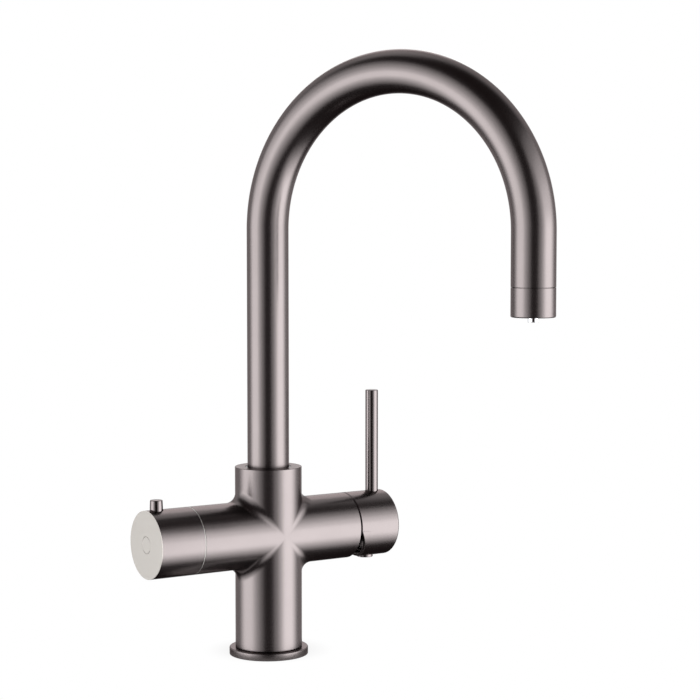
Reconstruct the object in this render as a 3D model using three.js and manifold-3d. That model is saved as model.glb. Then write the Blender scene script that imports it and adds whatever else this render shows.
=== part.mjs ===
// Three-in-one boiling water tap: a cross-shaped body with a swivelling swan-neck spout, a knob for
// boiling water with a child-lock button on the left arm, and a mixer lever on the right arm.
// Millimetres. Origin: centre of the base's underside. +Z is up, +X runs along the arms towards the
// mixer lever, and the user stands on the -Y side.

import * as THREE from 'three';
import { mergeVertices } from 'three/addons/utils/BufferGeometryUtils.js';
import Module from 'manifold-3d';

const wasm = await Module();
wasm.setup();

// ---------------------------------------------------------------- driving dimensions

// Body
const BODY_RADIUS = 22.5;          // both bars of the cross
const CROSS_FILLET = 8.7;          // ball that blends the two bars
const ARM_AXIS_HEIGHT = 82.2;      // arms above the deck
const ARM_REACH = 60.4;            // body axis to each arm's open end
const COLLAR_TOP = 127.5;          // flat top of the body
const EDGE_CHAMFER = 0.4;          // turned edges that show
const ARM_WALL = 4.5;              // round the pockets in the arms
const BODY_WALL = 4;               // round the bore in the foot
const SEAM = 0.3;                  // joint that shows between neighbouring parts
const GAP = 0.3;                   // fit of the pieces inside

// Base ring and inlets
const RING_RADIUS = 26.6;
const RING_HEIGHT = 5;
const RING_EDGE = 0.8;             // rounding of the ring's upper edge
const GASKET_WIDTH = 3;
const GASKET_THICKNESS = 1.6;
const MANIFOLD_HEIGHT = 42;
const PORT_CIRCLE = 9;             // radius of the circle that the waterways lie on
const WATERWAY_RADIUS = 3;
const HOSE_SOCKET_RADIUS = 4.6;
const HOSE_SOCKET_DEPTH = 14;
const STUD_SOCKET_RADIUS = 2.6;
const STUD_SOCKET_DEPTH = 12;
const STUD_CIRCLE = 11;
const O_RING_SECTION = 0.75;       // radius of the O-rings' section

// Spout
const SPOUT_RADIUS = 14;
const SPOUT_WALL = 1.5;
const ARCH_RADIUS = 101;           // centre line of the half circle
const SPRING_HEIGHT = 286.6;       // where the legs turn into the arch
const FALLING_LEG = 34.1;          // straight end of the tube, down to the screwed nozzle
const NOZZLE_LENGTH = 18.6;        // what shows of the nozzle, with its seam
const SPOUT_SWING = 22.6;          // degrees from dead front, as photographed
const SOCKET_DEPTH = 24;           // of the spout's socket, below the collar's top
const BUSH_WALL = 1.1;
const FOOT_BARREL = 7.5;           // length of the foot that turns in the socket
const FOOT_SPIGOT = 12;            // length of the foot inside the tube
const FOOT_WALL = 2.5;
const FOOT_GROOVE_DEPTH = 2;       // for the set screw's tip
const SCREW_RADIUS = 2;            // set screws and the knob's screw
const BOILING_TUBE_RADIUS = 3.6;
const BOILING_TUBE_WALL = 0.8;
const BOILING_PORT_GAP = 1.2;      // round the tube, for its seal
const BOILING_PORT_DEPTH = 5;
const OUTLET_RADIUS = 3.5;
const OUTLET_DROP = 3;             // chrome outlet below the nozzle's rim
const OUTLET_LENGTH = 15.6;
const OUTLET_BORE = 2.2;
const NOZZLE_WALL = 3;
const NOZZLE_EDGE = 1;             // rounding of the nozzle's lower edge
const NOZZLE_SPIGOT = 7;           // part of the nozzle that screws into the tube
const NOZZLE_SPIGOT_WALL = 2;
const AERATOR_RECESS = 1.6;
const AERATOR_THICKNESS = 7;
const AERATOR_HOLES = 12;
const AERATOR_HOLE_RADIUS = 1.3;

// Both valves
const SEAL_THICKNESS = 2;
const DISC_THICKNESS = 3.4;
const NUT_LENGTH = 6.7;
const NECK_RADIUS = 12.4;          // neck that each ring nut goes round
const NECK_LENGTH = 8;
const NECK_SETBACK = 1;            // both necks stop just inside the arm's open end
const SHOULDER_THICKNESS = 2.5;    // under each ring nut

// Mixer
const HUB_LENGTH = 31.7;
const HUB_WALL = 2.2;
const HUB_EDGE = 1.5;              // rounding of the hub's outer edge
const HUB_CAVITY = 15.2;           // depth of the hub's hollow
const WEDGE_ANGLE = 22.5;          // degrees, relief that lets the hub tilt
const LEVER_RADIUS = 4.4;
const LEVER_RISE = 70.3;           // lever above the hub
const LEVER_SETBACK = 8.4;         // lever's axis from the hub's outer face
const LEVER_SOCKET = 13.5;         // depth that the lever is screwed into the hub
const PIVOT_SETBACK = 2.5;         // tilt axis inside the arm's open end
const STEM_WIDTH = 7;
const STEM_TIP_WIDTH = 5;
const STEM_TIP_PLAY = 2.4;         // lets the tip swing in the moving disc's recess
const STEM_SETBACK = 5.6;          // stem's end from the hub's outer face
const STEM_PIN_RADIUS = 1.5;
const TILT_RANGE = 20;             // degrees
const CARTRIDGE_WALL = 2.3;
const CARTRIDGE_BASE = 4;
const CARRIER_PLATE = 3.6;
const CARRIER_NECK = 10.3;
const DOME_WALL = 1.2;
const DOME_OPENING = 13;           // radius of the hole that the stem tilts in
const DOME_GAP = 1.2;              // hub to dome
const PLUG_RADIUS = 5.5;
const PLUG_PROUD = 1.1;
const PLUG_SEAT = 1.2;             // depth of the plug's seat in the hub
const PLUG_HOLE = 1.6;

// Boiling knob and child lock
const KNOB_LENGTH = 31.9;
const KNOB_WALL = 2.2;
const CAP_THICKNESS = 1.2;
const CAP_SEAM = 0.2;
const KNOB_END_WALL = 2;
const KNOB_BOSS = 1.7;             // extra thickness round the knob's screw
const KNOB_BOSS_WIDTH = 3;
const VALVE_RADIUS = 12;
const VALVE_WALL = 3.2;
const SPINDLE_RADIUS = 5;
const SPINDLE_SQUARE = 7;
const SPINDLE_DRIVER = 4;
const SPINDLE_RING_SECTION = 0.6;
const SPINDLE_THREAD = 7;          // depth of the hole for the knob's screw
const SPINDLE_THREAD_SPARE = 1;    // thread left beyond the screw's tip
const ADAPTOR_RADIUS = 9.5;
const ADAPTOR_STANDOFF = 2.7;      // from the sleeve's floor to the adaptor
const SLEEVE_OUTER = 15.8;
const SLEEVE_WALL = 1.2;
const SLEEVE_FLOOR = 2.2;
const GLIDE_LENGTH = 4;
const BUTTON_RADIUS = 4.3;
const BUTTON_PROUD = 6.6;
const BUTTON_SETBACK = 7.54;       // button's axis from the knob's face
const BUTTON_PIN_RADIUS = 2;
const BUTTON_TRAVEL = 2;
const BUTTON_SEAT = 1.2;           // floor that the button's spring stands on
const SLOT_SPARE = 1;              // degrees past each end of the knob's turn
const KNOB_TURN = 90;              // degrees, limited by the slot in the sleeve
const CLIP_THICKNESS = 0.7;        // clip that keeps the button in the knob
const CLIP_WIDTH = 1.2;
const CLIP_GROOVE = 0.5;
const SPRING_WIRE = 0.25;          // radius of the spring's wire
const SPRING_TURNS = 3;

// Facets round a full turn
const FINE = 32;
const MEDIUM = 20;
const COARSE = 12;
const SECTION = 6;                 // round the O-rings' and the spring's section
const HEXAGON = 6;                 // sides of a hex key's socket
const FILLET_STEPS = 3;
const EDGE_STEPS = 2;              // round a rounded edge
const SPOUT_SIDES = 24;
const ARCH_STEPS = 20;
const INNER_ARCH_STEPS = 12;       // of the tube inside the spout
const MERGE_DISTANCE = 1e-3;
const OVERRUN = 1;                 // how far a cutter reaches past what it cuts

// ---------------------------------------------------------------- shapes

const degrees = THREE.MathUtils.degToRad;
const inDegrees = THREE.MathUtils.radToDeg;

// A closed surface: shared corners merged, empty triangles left out, faces pointing outwards.
function closedSurface(geometry) {
  const plain = new THREE.BufferGeometry();
  plain.setAttribute('position', geometry.getAttribute('position').clone());
  if (geometry.index) plain.setIndex(geometry.index.clone());
  const merged = mergeVertices(plain, MERGE_DISTANCE);
  const position = merged.getAttribute('position');
  const index = merged.index.array;
  const corners = [0, 1, 2].map(() => new THREE.Vector3());
  const kept = [];
  let volume = 0;
  for (let i = 0; i < index.length; i += 3) {
    const triangle = [index[i], index[i + 1], index[i + 2]];
    if (new Set(triangle).size < 3) continue;
    kept.push(...triangle);
    corners.forEach((corner, k) => corner.fromBufferAttribute(position, triangle[k]));
    volume += corners[0].dot(corners[1].clone().cross(corners[2]));
  }
  if (volume < 0) kept.reverse();
  merged.setIndex(kept);
  return merged;
}

function solidOf(geometry) {
  const surface = closedSurface(geometry);
  const vertProperties = Float32Array.from(surface.getAttribute('position').array);
  const triVerts = Uint32Array.from(surface.index.array);
  return new wasm.Manifold(new wasm.Mesh({ numProp: 3, vertProperties, triVerts }));
}

function surfaceOf(solid) {
  const mesh = solid.getMesh();
  const geometry = new THREE.BufferGeometry();
  geometry.setAttribute('position', new THREE.BufferAttribute(Float32Array.from(mesh.vertProperties), 3));
  geometry.setIndex(Array.from(mesh.triVerts));
  return geometry;
}

function cut(geometry, ...cutters) {
  return surfaceOf(cutters.reduce((solid, cutter) => solid.subtract(solidOf(cutter)), solidOf(geometry)));
}

function join(geometry, ...others) {
  return surfaceOf(others.reduce((solid, other) => solid.add(solidOf(other)), solidOf(geometry)));
}

// A profile of [radius, height] points turned round +z. It starts and ends on the axis, or closes.
function revolve(profile, sides = FINE) {
  const points = profile.map(([radius, height]) => new THREE.Vector2(radius, height));
  const touchesAxis = profile[0][0] === 0;
  if (!touchesAxis) points.push(points[0].clone());
  return new THREE.LatheGeometry(points, sides).rotateX(Math.PI / 2);
}

function bar(radius, from, to, sides = FINE) {
  return new THREE.CylinderGeometry(radius, radius, to - from, sides)
    .rotateX(Math.PI / 2)
    .translate(0, 0, (from + to) / 2);
}

function sleeve(outer, inner, from, to, sides = FINE) {
  return revolve([[inner, from], [outer, from], [outer, to], [inner, to]], sides);
}

function block(width, depth, from, to) {
  return new THREE.BoxGeometry(width, depth, to - from).translate(0, 0, (from + to) / 2);
}

function oRing(centreRadius, section, height, sides = MEDIUM) {
  return new THREE.TorusGeometry(centreRadius, section, SECTION, sides).translate(0, 0, height);
}

// A drilled hole between two points.
function drilling(radius, start, end) {
  const along = end.clone().sub(start);
  const up = new THREE.Vector3(0, 0, 1);
  const turn = new THREE.Quaternion().setFromUnitVectors(up, along.clone().normalize());
  return bar(radius, 0, along.length(), COARSE).applyQuaternion(turn).translate(start.x, start.y, start.z);
}

// Points of an arc from one angle to another, in degrees, about [radius, height].
function arc(centre, size, start, end, steps = EDGE_STEPS) {
  return Array.from({ length: steps + 1 }, (_, i) => {
    const angle = degrees(start + (end - start) * i / steps);
    return [centre[0] + size * Math.cos(angle), centre[1] + size * Math.sin(angle)];
  });
}

// Corners of a regular polygon, anticlockwise.
function polygon(radius, sides, x = 0, y = 0) {
  return Array.from({ length: sides }, (_, i) => {
    const angle = 2 * Math.PI * i / sides;
    return new THREE.Vector2(x + radius * Math.cos(angle), y + radius * Math.sin(angle));
  });
}

function disc(radius, sides = MEDIUM) {
  return new THREE.Shape(polygon(radius, sides));
}

function drill(shape, at, radius, sides = COARSE) {
  shape.holes.push(new THREE.Path(polygon(radius, sides, at.x, at.y).reverse()));
}

// A flat plate from a shape.
function plate(shape, from, to) {
  return new THREE.ExtrudeGeometry(shape, { depth: to - from, bevelEnabled: false }).translate(0, 0, from);
}

// Turns a piece made along +z so that it points up from an arm, at a distance out along the arm.
function upright(geometry, distance) {
  return geometry.rotateX(-Math.PI / 2).translate(0, 0, distance);
}

// The same, pointing down from the arm.
function hanging(geometry, distance) {
  return geometry.rotateX(Math.PI / 2).translate(0, 0, distance);
}

// ---------------------------------------------------------------- scene graph

function finish(color, roughness, metalness) {
  return new THREE.MeshStandardMaterial({ color, roughness, metalness });
}

const finishes = {
  gunmetal: finish(0x726c6c, 0.3, 1),
  chrome: finish(0xdadcdd, 0.08, 1),
  steel: finish(0xa9abad, 0.3, 1),
  brass: finish(0xb99a5b, 0.35, 1),
  ceramic: finish(0xe9e6df, 0.25, 0),
  rubber: finish(0x1b1b1c, 0.75, 0),
  blackPlastic: finish(0x161617, 0.5, 0),
  greyPlastic: finish(0x8d8f91, 0.45, 0),
  whitePlastic: finish(0xe4e4e0, 0.5, 0),
};

function add(group, name, geometry, material) {
  const mesh = new THREE.Mesh(closedSurface(geometry), material);
  mesh.name = name;
  group.add(mesh);
}

// A group whose +z runs out along an arm and whose +y is up.
function armGroup(side) {
  const outward = new THREE.Vector3(side, 0, 0);
  const up = new THREE.Vector3(0, 0, 1);
  const across = new THREE.Vector3().crossVectors(up, outward);
  const group = new THREE.Group();
  group.quaternion.setFromRotationMatrix(new THREE.Matrix4().makeBasis(across, up, outward));
  group.position.z = ARM_AXIS_HEIGHT;
  return group;
}

const tap = new THREE.Group();
const leftArm = armGroup(-1);
const rightArm = armGroup(1);
const spout = new THREE.Group();
spout.rotation.z = degrees(SPOUT_SWING - 90);
tap.add(leftArm, rightArm, spout);

// ---------------------------------------------------------------- shared fits

const pocketRadius = BODY_RADIUS - ARM_WALL;
const footBore = BODY_RADIUS - BODY_WALL;
const footCeiling = MANIFOLD_HEIGHT + 2 * GAP;
const bodyBottom = RING_HEIGHT + SEAM;
const socketFloor = COLLAR_TOP - SOCKET_DEPTH;
const socketRadius = SPOUT_RADIUS + BUSH_WALL + GAP;
const nutRadius = pocketRadius - GAP;
const nutBore = NECK_RADIUS + GAP;
const shoulderRadius = pocketRadius - GAP - GAP / 2;
const capStart = ARM_REACH + SEAM;                    // where the hub and the knob start
const neckEnd = ARM_REACH - NECK_SETBACK;
const shoulderTop = neckEnd - NECK_LENGTH;
const nutStart = shoulderTop + GAP;

// stack inside both arms, from under the shoulder down to the pocket's floor
const chamberEnd = shoulderTop - SHOULDER_THICKNESS;
const carrierPlateEnd = chamberEnd - 3 * GAP;
const carrierStart = carrierPlateEnd - CARRIER_PLATE;
const movingDiscStart = carrierStart - GAP - DISC_THICKNESS;
const fixedDiscStart = movingDiscStart - GAP - DISC_THICKNESS;
const baseEnd = fixedDiscStart - GAP;
const valveStart = baseEnd - CARTRIDGE_BASE;
const valveSealStart = valveStart - GAP - SEAL_THICKNESS;
const pocketFloor = valveSealStart - GAP;

const mixedRise = PORT_CIRCLE;                        // mixed-water port above the arm's axis
const boilingRise = (VALVE_RADIUS + pocketRadius) / 2; // middle of the space round the boiling valve
const boilingPortRadius = BOILING_TUBE_RADIUS + BOILING_PORT_GAP;
const screwHole = SCREW_RADIUS + GAP / 2;

// spout's foot, from the bottom of its socket upwards
const barrelStart = socketFloor + 3 * GAP;
const barrelEnd = barrelStart + FOOT_BARREL;
const grooveEnd = barrelEnd + 2 * (SCREW_RADIUS + GAP);
const grooveMiddle = (barrelEnd + grooveEnd) / 2;
const tubeBottom = grooveEnd + GAP;
const bushBottom = tubeBottom + GAP;
const barrelRadius = socketRadius - 1.5 * GAP;
const grooveRadius = barrelRadius - FOOT_GROOVE_DEPTH;
const setScrewTip = grooveRadius + GAP;

// seals in the foot of the body
const gasketMiddle = (footBore + RING_RADIUS) / 2;
const gasketOuter = gasketMiddle + GASKET_WIDTH / 2;
const gasketInner = gasketMiddle - GASKET_WIDTH / 2;
const inletSealRadius = WATERWAY_RADIUS + 2 * GAP + O_RING_SECTION;
const sealSeatRadius = inletSealRadius + O_RING_SECTION + GAP;
const sealSeatFloor = MANIFOLD_HEIGHT - 2 * O_RING_SECTION;

// Angles of the inlets and fixing studs round the body's axis, and of the mixer's ports round the
// arm's axis as they are seen from its open end, in degrees.
const inlets = { hot: 60, cold: -60, boiling: 180 };
const studs = [120, 240];
const mixerPorts = { mixed: 90, hot: 330, cold: 210 };

function onCircle(radius, angle, height = 0) {
  return new THREE.Vector3(radius * Math.cos(degrees(angle)), radius * Math.sin(degrees(angle)), height);
}

// ---------------------------------------------------------------- body

// Two bars of one radius crossed square and blended by a rolling ball. The angle runs from the front
// pole to the back one, and the ball's centre lies (radius + fillet) * sin(angle) from both axes.
function crossedBars(radius, fillet, armReach, riseAbove, dropBelow, chamfer) {
  const half = FINE / 2;
  const rolling = radius + fillet;
  const corners = [];

  function column(angle, reach) {
    const [side, front] = [Math.sin(angle), -Math.cos(angle)];
    const turned = (r, length) => [r * side, r * front, length];
    const bright = [turned(0, reach), turned(radius - chamfer, reach), turned(radius, reach - chamfer)];
    return { side, front, bright };
  }

  function row(angle, sideSign, upSign) {
    const up = column(angle, upSign > 0 ? riseAbove : dropBelow);
    const out = column(angle, armReach);
    const { side, front } = up;
    const blend = [];
    for (let k = 0; k <= FILLET_STEPS; k += 1) {
      // the ball's surface between its lines of contact with the upright bar and with the arm
      const first = new THREE.Vector3(-fillet * side, -fillet * front, 0);
      const last = new THREE.Vector3(0, -fillet * front, -fillet * side);
      const reachOut = first.lerp(last, k / FILLET_STEPS).setLength(fillet);
      const centre = new THREE.Vector3(rolling * side, rolling * front, rolling * side);
      blend.push(centre.add(reachOut).toArray());
    }
    const swapped = out.bright.map(([x, y, z]) => [z, y, x]).reverse();
    return [...up.bright, ...blend, ...swapped]
      .map(([x, y, z]) => [sideSign * x, y, upSign * z]);
  }

  for (const [sideSign, upSign] of [[1, 1], [-1, 1], [1, -1], [-1, -1]]) {
    for (let i = 0; i < half; i += 1) {
      const near = row(Math.PI * i / half, sideSign, upSign);
      const far = row(Math.PI * (i + 1) / half, sideSign, upSign);
      for (let j = 0; j + 1 < near.length; j += 1) {
        const quad = [near[j], near[j + 1], far[j + 1], near[j], far[j + 1], far[j]];
        if (sideSign * upSign < 0) quad.reverse();
        corners.push(...quad.flat());
      }
    }
  }
  const geometry = new THREE.BufferGeometry();
  geometry.setAttribute('position', new THREE.Float32BufferAttribute(corners, 3));
  return geometry;
}

function crossBody() {
  const outside = crossedBars(BODY_RADIUS, CROSS_FILLET, ARM_REACH, COLLAR_TOP - ARM_AXIS_HEIGHT,
    ARM_AXIS_HEIGHT - bodyBottom, EDGE_CHAMFER).translate(0, 0, ARM_AXIS_HEIGHT);
  const pockets = [leftArm, rightArm].map((arm) => bar(pocketRadius, pocketFloor, ARM_REACH + OVERRUN)
    .applyQuaternion(arm.quaternion)
    .translate(0, 0, ARM_AXIS_HEIGHT));
  const spoutSocket = bar(socketRadius, socketFloor, COLLAR_TOP + OVERRUN);
  const foot = bar(footBore, bodyBottom - OVERRUN, footCeiling);

  // waterways: each a rising drilling met by one from the pocket's floor
  const waterways = [];
  for (const name of ['hot', 'cold']) {
    const port = onCircle(PORT_CIRCLE, inlets[name]);
    const corner = port.clone().setZ(ARM_AXIS_HEIGHT - port.x);
    waterways.push(
      drilling(WATERWAY_RADIUS, port.setZ(footCeiling - OVERRUN), corner),
      drilling(WATERWAY_RADIUS, corner, corner.clone().setX(pocketFloor + OVERRUN)),
    );
  }
  const boilingIn = onCircle(PORT_CIRCLE, inlets.boiling, ARM_AXIS_HEIGHT);
  const mixedOut = new THREE.Vector3(PORT_CIRCLE, 0, ARM_AXIS_HEIGHT + mixedRise);
  const boilingOut = new THREE.Vector3(0, 0, ARM_AXIS_HEIGHT + boilingRise);
  const portRadius = WATERWAY_RADIUS - GAP;
  waterways.push(
    drilling(WATERWAY_RADIUS, boilingIn.clone().setZ(footCeiling - OVERRUN), boilingIn),
    drilling(WATERWAY_RADIUS, boilingIn, boilingIn.clone().setX(-pocketFloor - OVERRUN)),
    drilling(WATERWAY_RADIUS, mixedOut, mixedOut.clone().setX(pocketFloor + OVERRUN)),
    drilling(WATERWAY_RADIUS, mixedOut, mixedOut.clone().setZ(socketFloor + OVERRUN)),
    drilling(portRadius, boilingOut, boilingOut.clone().setX(-pocketFloor - OVERRUN)),
    drilling(portRadius, boilingOut, boilingOut.clone().setZ(socketFloor)),
    bar(boilingPortRadius, socketFloor - BOILING_PORT_DEPTH, socketFloor + OVERRUN, MEDIUM),
  );
  const screwAxis = new THREE.Vector3(0, 0, grooveMiddle);
  const screwBore = drilling(screwHole, screwAxis, screwAxis.clone().setY(BODY_RADIUS + OVERRUN));
  return cut(outside, ...pockets, spoutSocket, foot, ...waterways, screwBore);
}

function baseRing() {
  const edge = arc([RING_RADIUS - RING_EDGE, RING_HEIGHT - RING_EDGE], RING_EDGE, 0, 90);
  const bore = footBore + GAP;
  const grooveTop = GASKET_THICKNESS + 2 * GAP;
  return revolve([
    [bore, 0], [gasketInner - GAP, 0], [gasketInner - GAP, grooveTop], [gasketOuter + GAP, grooveTop],
    [gasketOuter + GAP, 0], [RING_RADIUS, 0], ...edge, [bore, RING_HEIGHT],
  ]);
}

function inletManifold() {
  const plug = bar(footBore - GAP, 0, MANIFOLD_HEIGHT);
  const holes = Object.values(inlets).flatMap((angle) => {
    const at = onCircle(PORT_CIRCLE, angle);
    return [
      bar(HOSE_SOCKET_RADIUS, -OVERRUN, HOSE_SOCKET_DEPTH, COARSE).translate(at.x, at.y, 0),
      bar(WATERWAY_RADIUS, 0, MANIFOLD_HEIGHT + OVERRUN, COARSE).translate(at.x, at.y, 0),
      bar(sealSeatRadius, sealSeatFloor, MANIFOLD_HEIGHT + OVERRUN, COARSE).translate(at.x, at.y, 0),
    ];
  });
  const studHoles = studs.map((angle) => {
    const at = onCircle(STUD_CIRCLE, angle);
    return bar(STUD_SOCKET_RADIUS, -OVERRUN, STUD_SOCKET_DEPTH, COARSE).translate(at.x, at.y, 0);
  });
  return cut(plug, ...holes, ...studHoles);
}

add(tap, 'base_ring', baseRing(), finishes.gunmetal);
add(tap, 'base_gasket', sleeve(gasketOuter, gasketInner, GAP / 2, GAP / 2 + GASKET_THICKNESS),
  finishes.rubber);
add(tap, 'cross_body', crossBody(), finishes.gunmetal);
add(tap, 'inlet_manifold', inletManifold(), finishes.brass);
for (const [name, angle] of Object.entries(inlets)) {
  const at = onCircle(PORT_CIRCLE, angle);
  const ring = oRing(inletSealRadius, O_RING_SECTION, sealSeatFloor + O_RING_SECTION + GAP / 2, COARSE);
  add(tap, `${name}_inlet_seal`, ring.translate(at.x, at.y, 0), finishes.rubber);
}

// ---------------------------------------------------------------- spout

// The spout's centre line: up one leg, round the half circle and down the other. Equal parts of its
// parameter give one step to each leg and the rest to the arch.
class SwanNeck extends THREE.Curve {
  constructor(bottom, tip, archSteps) {
    super();
    Object.assign(this, { bottom, tip, archSteps });
  }

  // which stretch the parameter is on, and how far along it
  stretch(t) {
    const step = t * (this.archSteps + 2);
    if (step <= 1) return { leg: 'rising', part: step };
    if (step <= this.archSteps + 1) return { leg: 'arch', part: (step - 1) / this.archSteps };
    return { leg: 'falling', part: step - this.archSteps - 1 };
  }

  getPointAt(t) {
    const { leg, part } = this.stretch(t);
    const { lerp } = THREE.MathUtils;
    if (leg === 'rising') return new THREE.Vector3(0, 0, lerp(this.bottom, SPRING_HEIGHT, part));
    if (leg === 'falling') return new THREE.Vector3(2 * ARCH_RADIUS, 0, lerp(SPRING_HEIGHT, this.tip, part));
    const angle = Math.PI * part;
    const across = ARCH_RADIUS * (1 - Math.cos(angle));
    return new THREE.Vector3(across, 0, SPRING_HEIGHT + ARCH_RADIUS * Math.sin(angle));
  }

  getTangentAt(t) {
    const { leg, part } = this.stretch(t);
    const angle = leg === 'arch' ? Math.PI * part : Math.PI * (leg === 'falling');
    return new THREE.Vector3(Math.sin(angle), 0, Math.cos(angle));
  }

  getSpacedPoints(divisions) {
    return Array.from({ length: divisions + 1 }, (_, i) => this.getPointAt(i / divisions));
  }
}

function swanNeckTube(outer, inner, bottom, tip, sides, archSteps) {
  const section = disc(outer, sides);
  drill(section, new THREE.Vector2(), inner, sides / 2);
  return new THREE.ExtrudeGeometry(section, {
    extrudePath: new SwanNeck(bottom, tip, archSteps), steps: archSteps + 2, bevelEnabled: false,
  });
}

const nozzleSeam = SPRING_HEIGHT - FALLING_LEG;
const nozzleBottom = nozzleSeam - NOZZLE_LENGTH;
const tubeBore = SPOUT_RADIUS - SPOUT_WALL;
const spigotRadius = tubeBore - 2 * GAP;               // clears the flats of the coarser bore
const boilingTubeBottom = socketFloor - BOILING_PORT_DEPTH + GAP;
const outletBottom = nozzleBottom - OUTLET_DROP;
const outletTop = outletBottom + OUTLET_LENGTH;
const outletX = 2 * ARCH_RADIUS;
const spoutRingRadius = barrelRadius + GAP / 2 - O_RING_SECTION;
const spoutRingGroove = spoutRingRadius - O_RING_SECTION - GAP / 2;
const spoutRingHeights = [1, 3].map((quarter) => barrelStart + FOOT_BARREL * quarter / 4);

function spoutFoot() {
  const bore = spigotRadius - FOOT_WALL;
  const halfGroove = O_RING_SECTION + GAP / 2;
  const grooves = spoutRingHeights.flatMap((height) => [
    [barrelRadius, height - halfGroove], [spoutRingGroove, height - halfGroove],
    [spoutRingGroove, height + halfGroove], [barrelRadius, height + halfGroove],
  ]);
  return revolve([
    [bore, barrelStart], [barrelRadius, barrelStart], ...grooves, [barrelRadius, barrelEnd],
    [grooveRadius, barrelEnd], [grooveRadius, grooveEnd], [spigotRadius, grooveEnd],
    [spigotRadius, grooveEnd + FOOT_SPIGOT], [bore, grooveEnd + FOOT_SPIGOT],
  ], MEDIUM);
}

function nozzleRing() {
  const bore = SPOUT_RADIUS - NOZZLE_WALL;
  const top = nozzleSeam - SEAM;
  const spigotBore = spigotRadius - NOZZLE_SPIGOT_WALL;
  const shelf = nozzleBottom + AERATOR_RECESS + AERATOR_THICKNESS + GAP;
  const edge = arc([SPOUT_RADIUS - NOZZLE_EDGE, nozzleBottom + NOZZLE_EDGE], NOZZLE_EDGE, -90, 0);
  return revolve([
    [bore, nozzleBottom], ...edge, [SPOUT_RADIUS, top], [spigotRadius, top],
    [spigotRadius, top + NOZZLE_SPIGOT], [spigotBore, top + NOZZLE_SPIGOT], [spigotBore, shelf],
    [bore, shelf],
  ], SPOUT_SIDES);
}

function aeratorInsert() {
  const outer = SPOUT_RADIUS - NOZZLE_WALL - GAP;
  const inner = OUTLET_RADIUS + GAP;
  const shape = disc(outer);
  drill(shape, new THREE.Vector2(), inner, MEDIUM);
  for (let i = 0; i < AERATOR_HOLES; i += 1) {
    drill(shape, onCircle((outer + inner) / 2, 360 * i / AERATOR_HOLES), AERATOR_HOLE_RADIUS, SECTION);
  }
  const bottom = nozzleBottom + AERATOR_RECESS;
  return plate(shape, bottom, bottom + AERATOR_THICKNESS);
}

function setScrew(length) {
  const socket = bar(SCREW_RADIUS / 2, length - SCREW_RADIUS, length + OVERRUN, HEXAGON);
  const point = SCREW_RADIUS / 2;
  const profile = [[0, 0], [point, 0], [SCREW_RADIUS, point], [SCREW_RADIUS, length], [0, length]];
  return cut(revolve(profile, COARSE), socket);
}

add(spout, 'spout_tube', swanNeckTube(SPOUT_RADIUS, tubeBore, tubeBottom, nozzleSeam, SPOUT_SIDES,
  ARCH_STEPS), finishes.gunmetal);
add(spout, 'spout_foot', spoutFoot(), finishes.brass);
spoutRingHeights.forEach((height, i) => {
  add(spout, `spout_o_ring_${i + 1}`, oRing(spoutRingRadius, O_RING_SECTION, height), finishes.rubber);
});
add(spout, 'boiling_tube', swanNeckTube(BOILING_TUBE_RADIUS, BOILING_TUBE_RADIUS - BOILING_TUBE_WALL,
  boilingTubeBottom, outletTop + GAP, COARSE, INNER_ARCH_STEPS), finishes.steel);
const tubeSealSection = (boilingPortRadius - BOILING_TUBE_RADIUS - GAP) / 2;
add(spout, 'boiling_tube_seal', oRing((BOILING_TUBE_RADIUS + boilingPortRadius) / 2, tubeSealSection,
  socketFloor - BOILING_PORT_DEPTH / 2, COARSE), finishes.rubber);
add(spout, 'nozzle_ring', nozzleRing().translate(outletX, 0, 0), finishes.gunmetal);
add(spout, 'aerator_insert', aeratorInsert().translate(outletX, 0, 0), finishes.greyPlastic);
add(spout, 'boiling_outlet', sleeve(OUTLET_RADIUS, OUTLET_BORE, outletBottom, outletTop, MEDIUM)
  .translate(outletX, 0, 0), finishes.chrome);

add(tap, 'upper_swivel_bush', sleeve(socketRadius - GAP / 2, SPOUT_RADIUS + GAP / 2, bushBottom,
  COLLAR_TOP - GAP), finishes.blackPlastic);
add(tap, 'spout_grub_screw', setScrew(BODY_RADIUS - 2 * GAP - setScrewTip)
  .rotateX(-Math.PI / 2)
  .translate(0, setScrewTip, grooveMiddle), finishes.steel);

// ---------------------------------------------------------------- mixer, on the right arm

const pivot = ARM_REACH - PIVOT_SETBACK;
const hubCavityRadius = BODY_RADIUS - HUB_WALL;
const domeRadius = hubCavityRadius - DOME_GAP;
const chamberRadius = shoulderRadius - CARTRIDGE_WALL;
const stemTip = movingDiscStart + DISC_THICKNESS / 2 + GAP;
const tiltSlide = (pivot - stemTip) * Math.sin(degrees(TILT_RANGE));
const slotTop = STEM_WIDTH / 2 + GAP + tiltSlide;
const hubEnd = capStart + HUB_LENGTH;
const cavityFloor = capStart + HUB_CAVITY;
const stemEnd = hubEnd - STEM_SETBACK;
const leverPlace = hubEnd - LEVER_SETBACK;
const leverFoot = BODY_RADIUS - LEVER_SOCKET;
const plugPlace = cavityFloor + screwHole + GAP;

// plate with the hot, cold and mixed ports, seen from outside the arm
function portedPlate(radius, from, to) {
  const shape = disc(radius);
  for (const angle of Object.values(mixerPorts)) {
    drill(shape, onCircle(PORT_CIRCLE, angle), WATERWAY_RADIUS);
  }
  return plate(shape, from, to);
}

function cartridgeHousing() {
  const neckBore = CARRIER_NECK + GAP;
  return revolve([
    [chamberRadius, baseEnd + GAP], [shoulderRadius, baseEnd + GAP], [shoulderRadius, shoulderTop],
    [NECK_RADIUS, shoulderTop], [NECK_RADIUS, neckEnd], [neckBore, neckEnd], [neckBore, chamberEnd],
    [chamberRadius, chamberEnd],
  ], MEDIUM);
}

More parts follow.
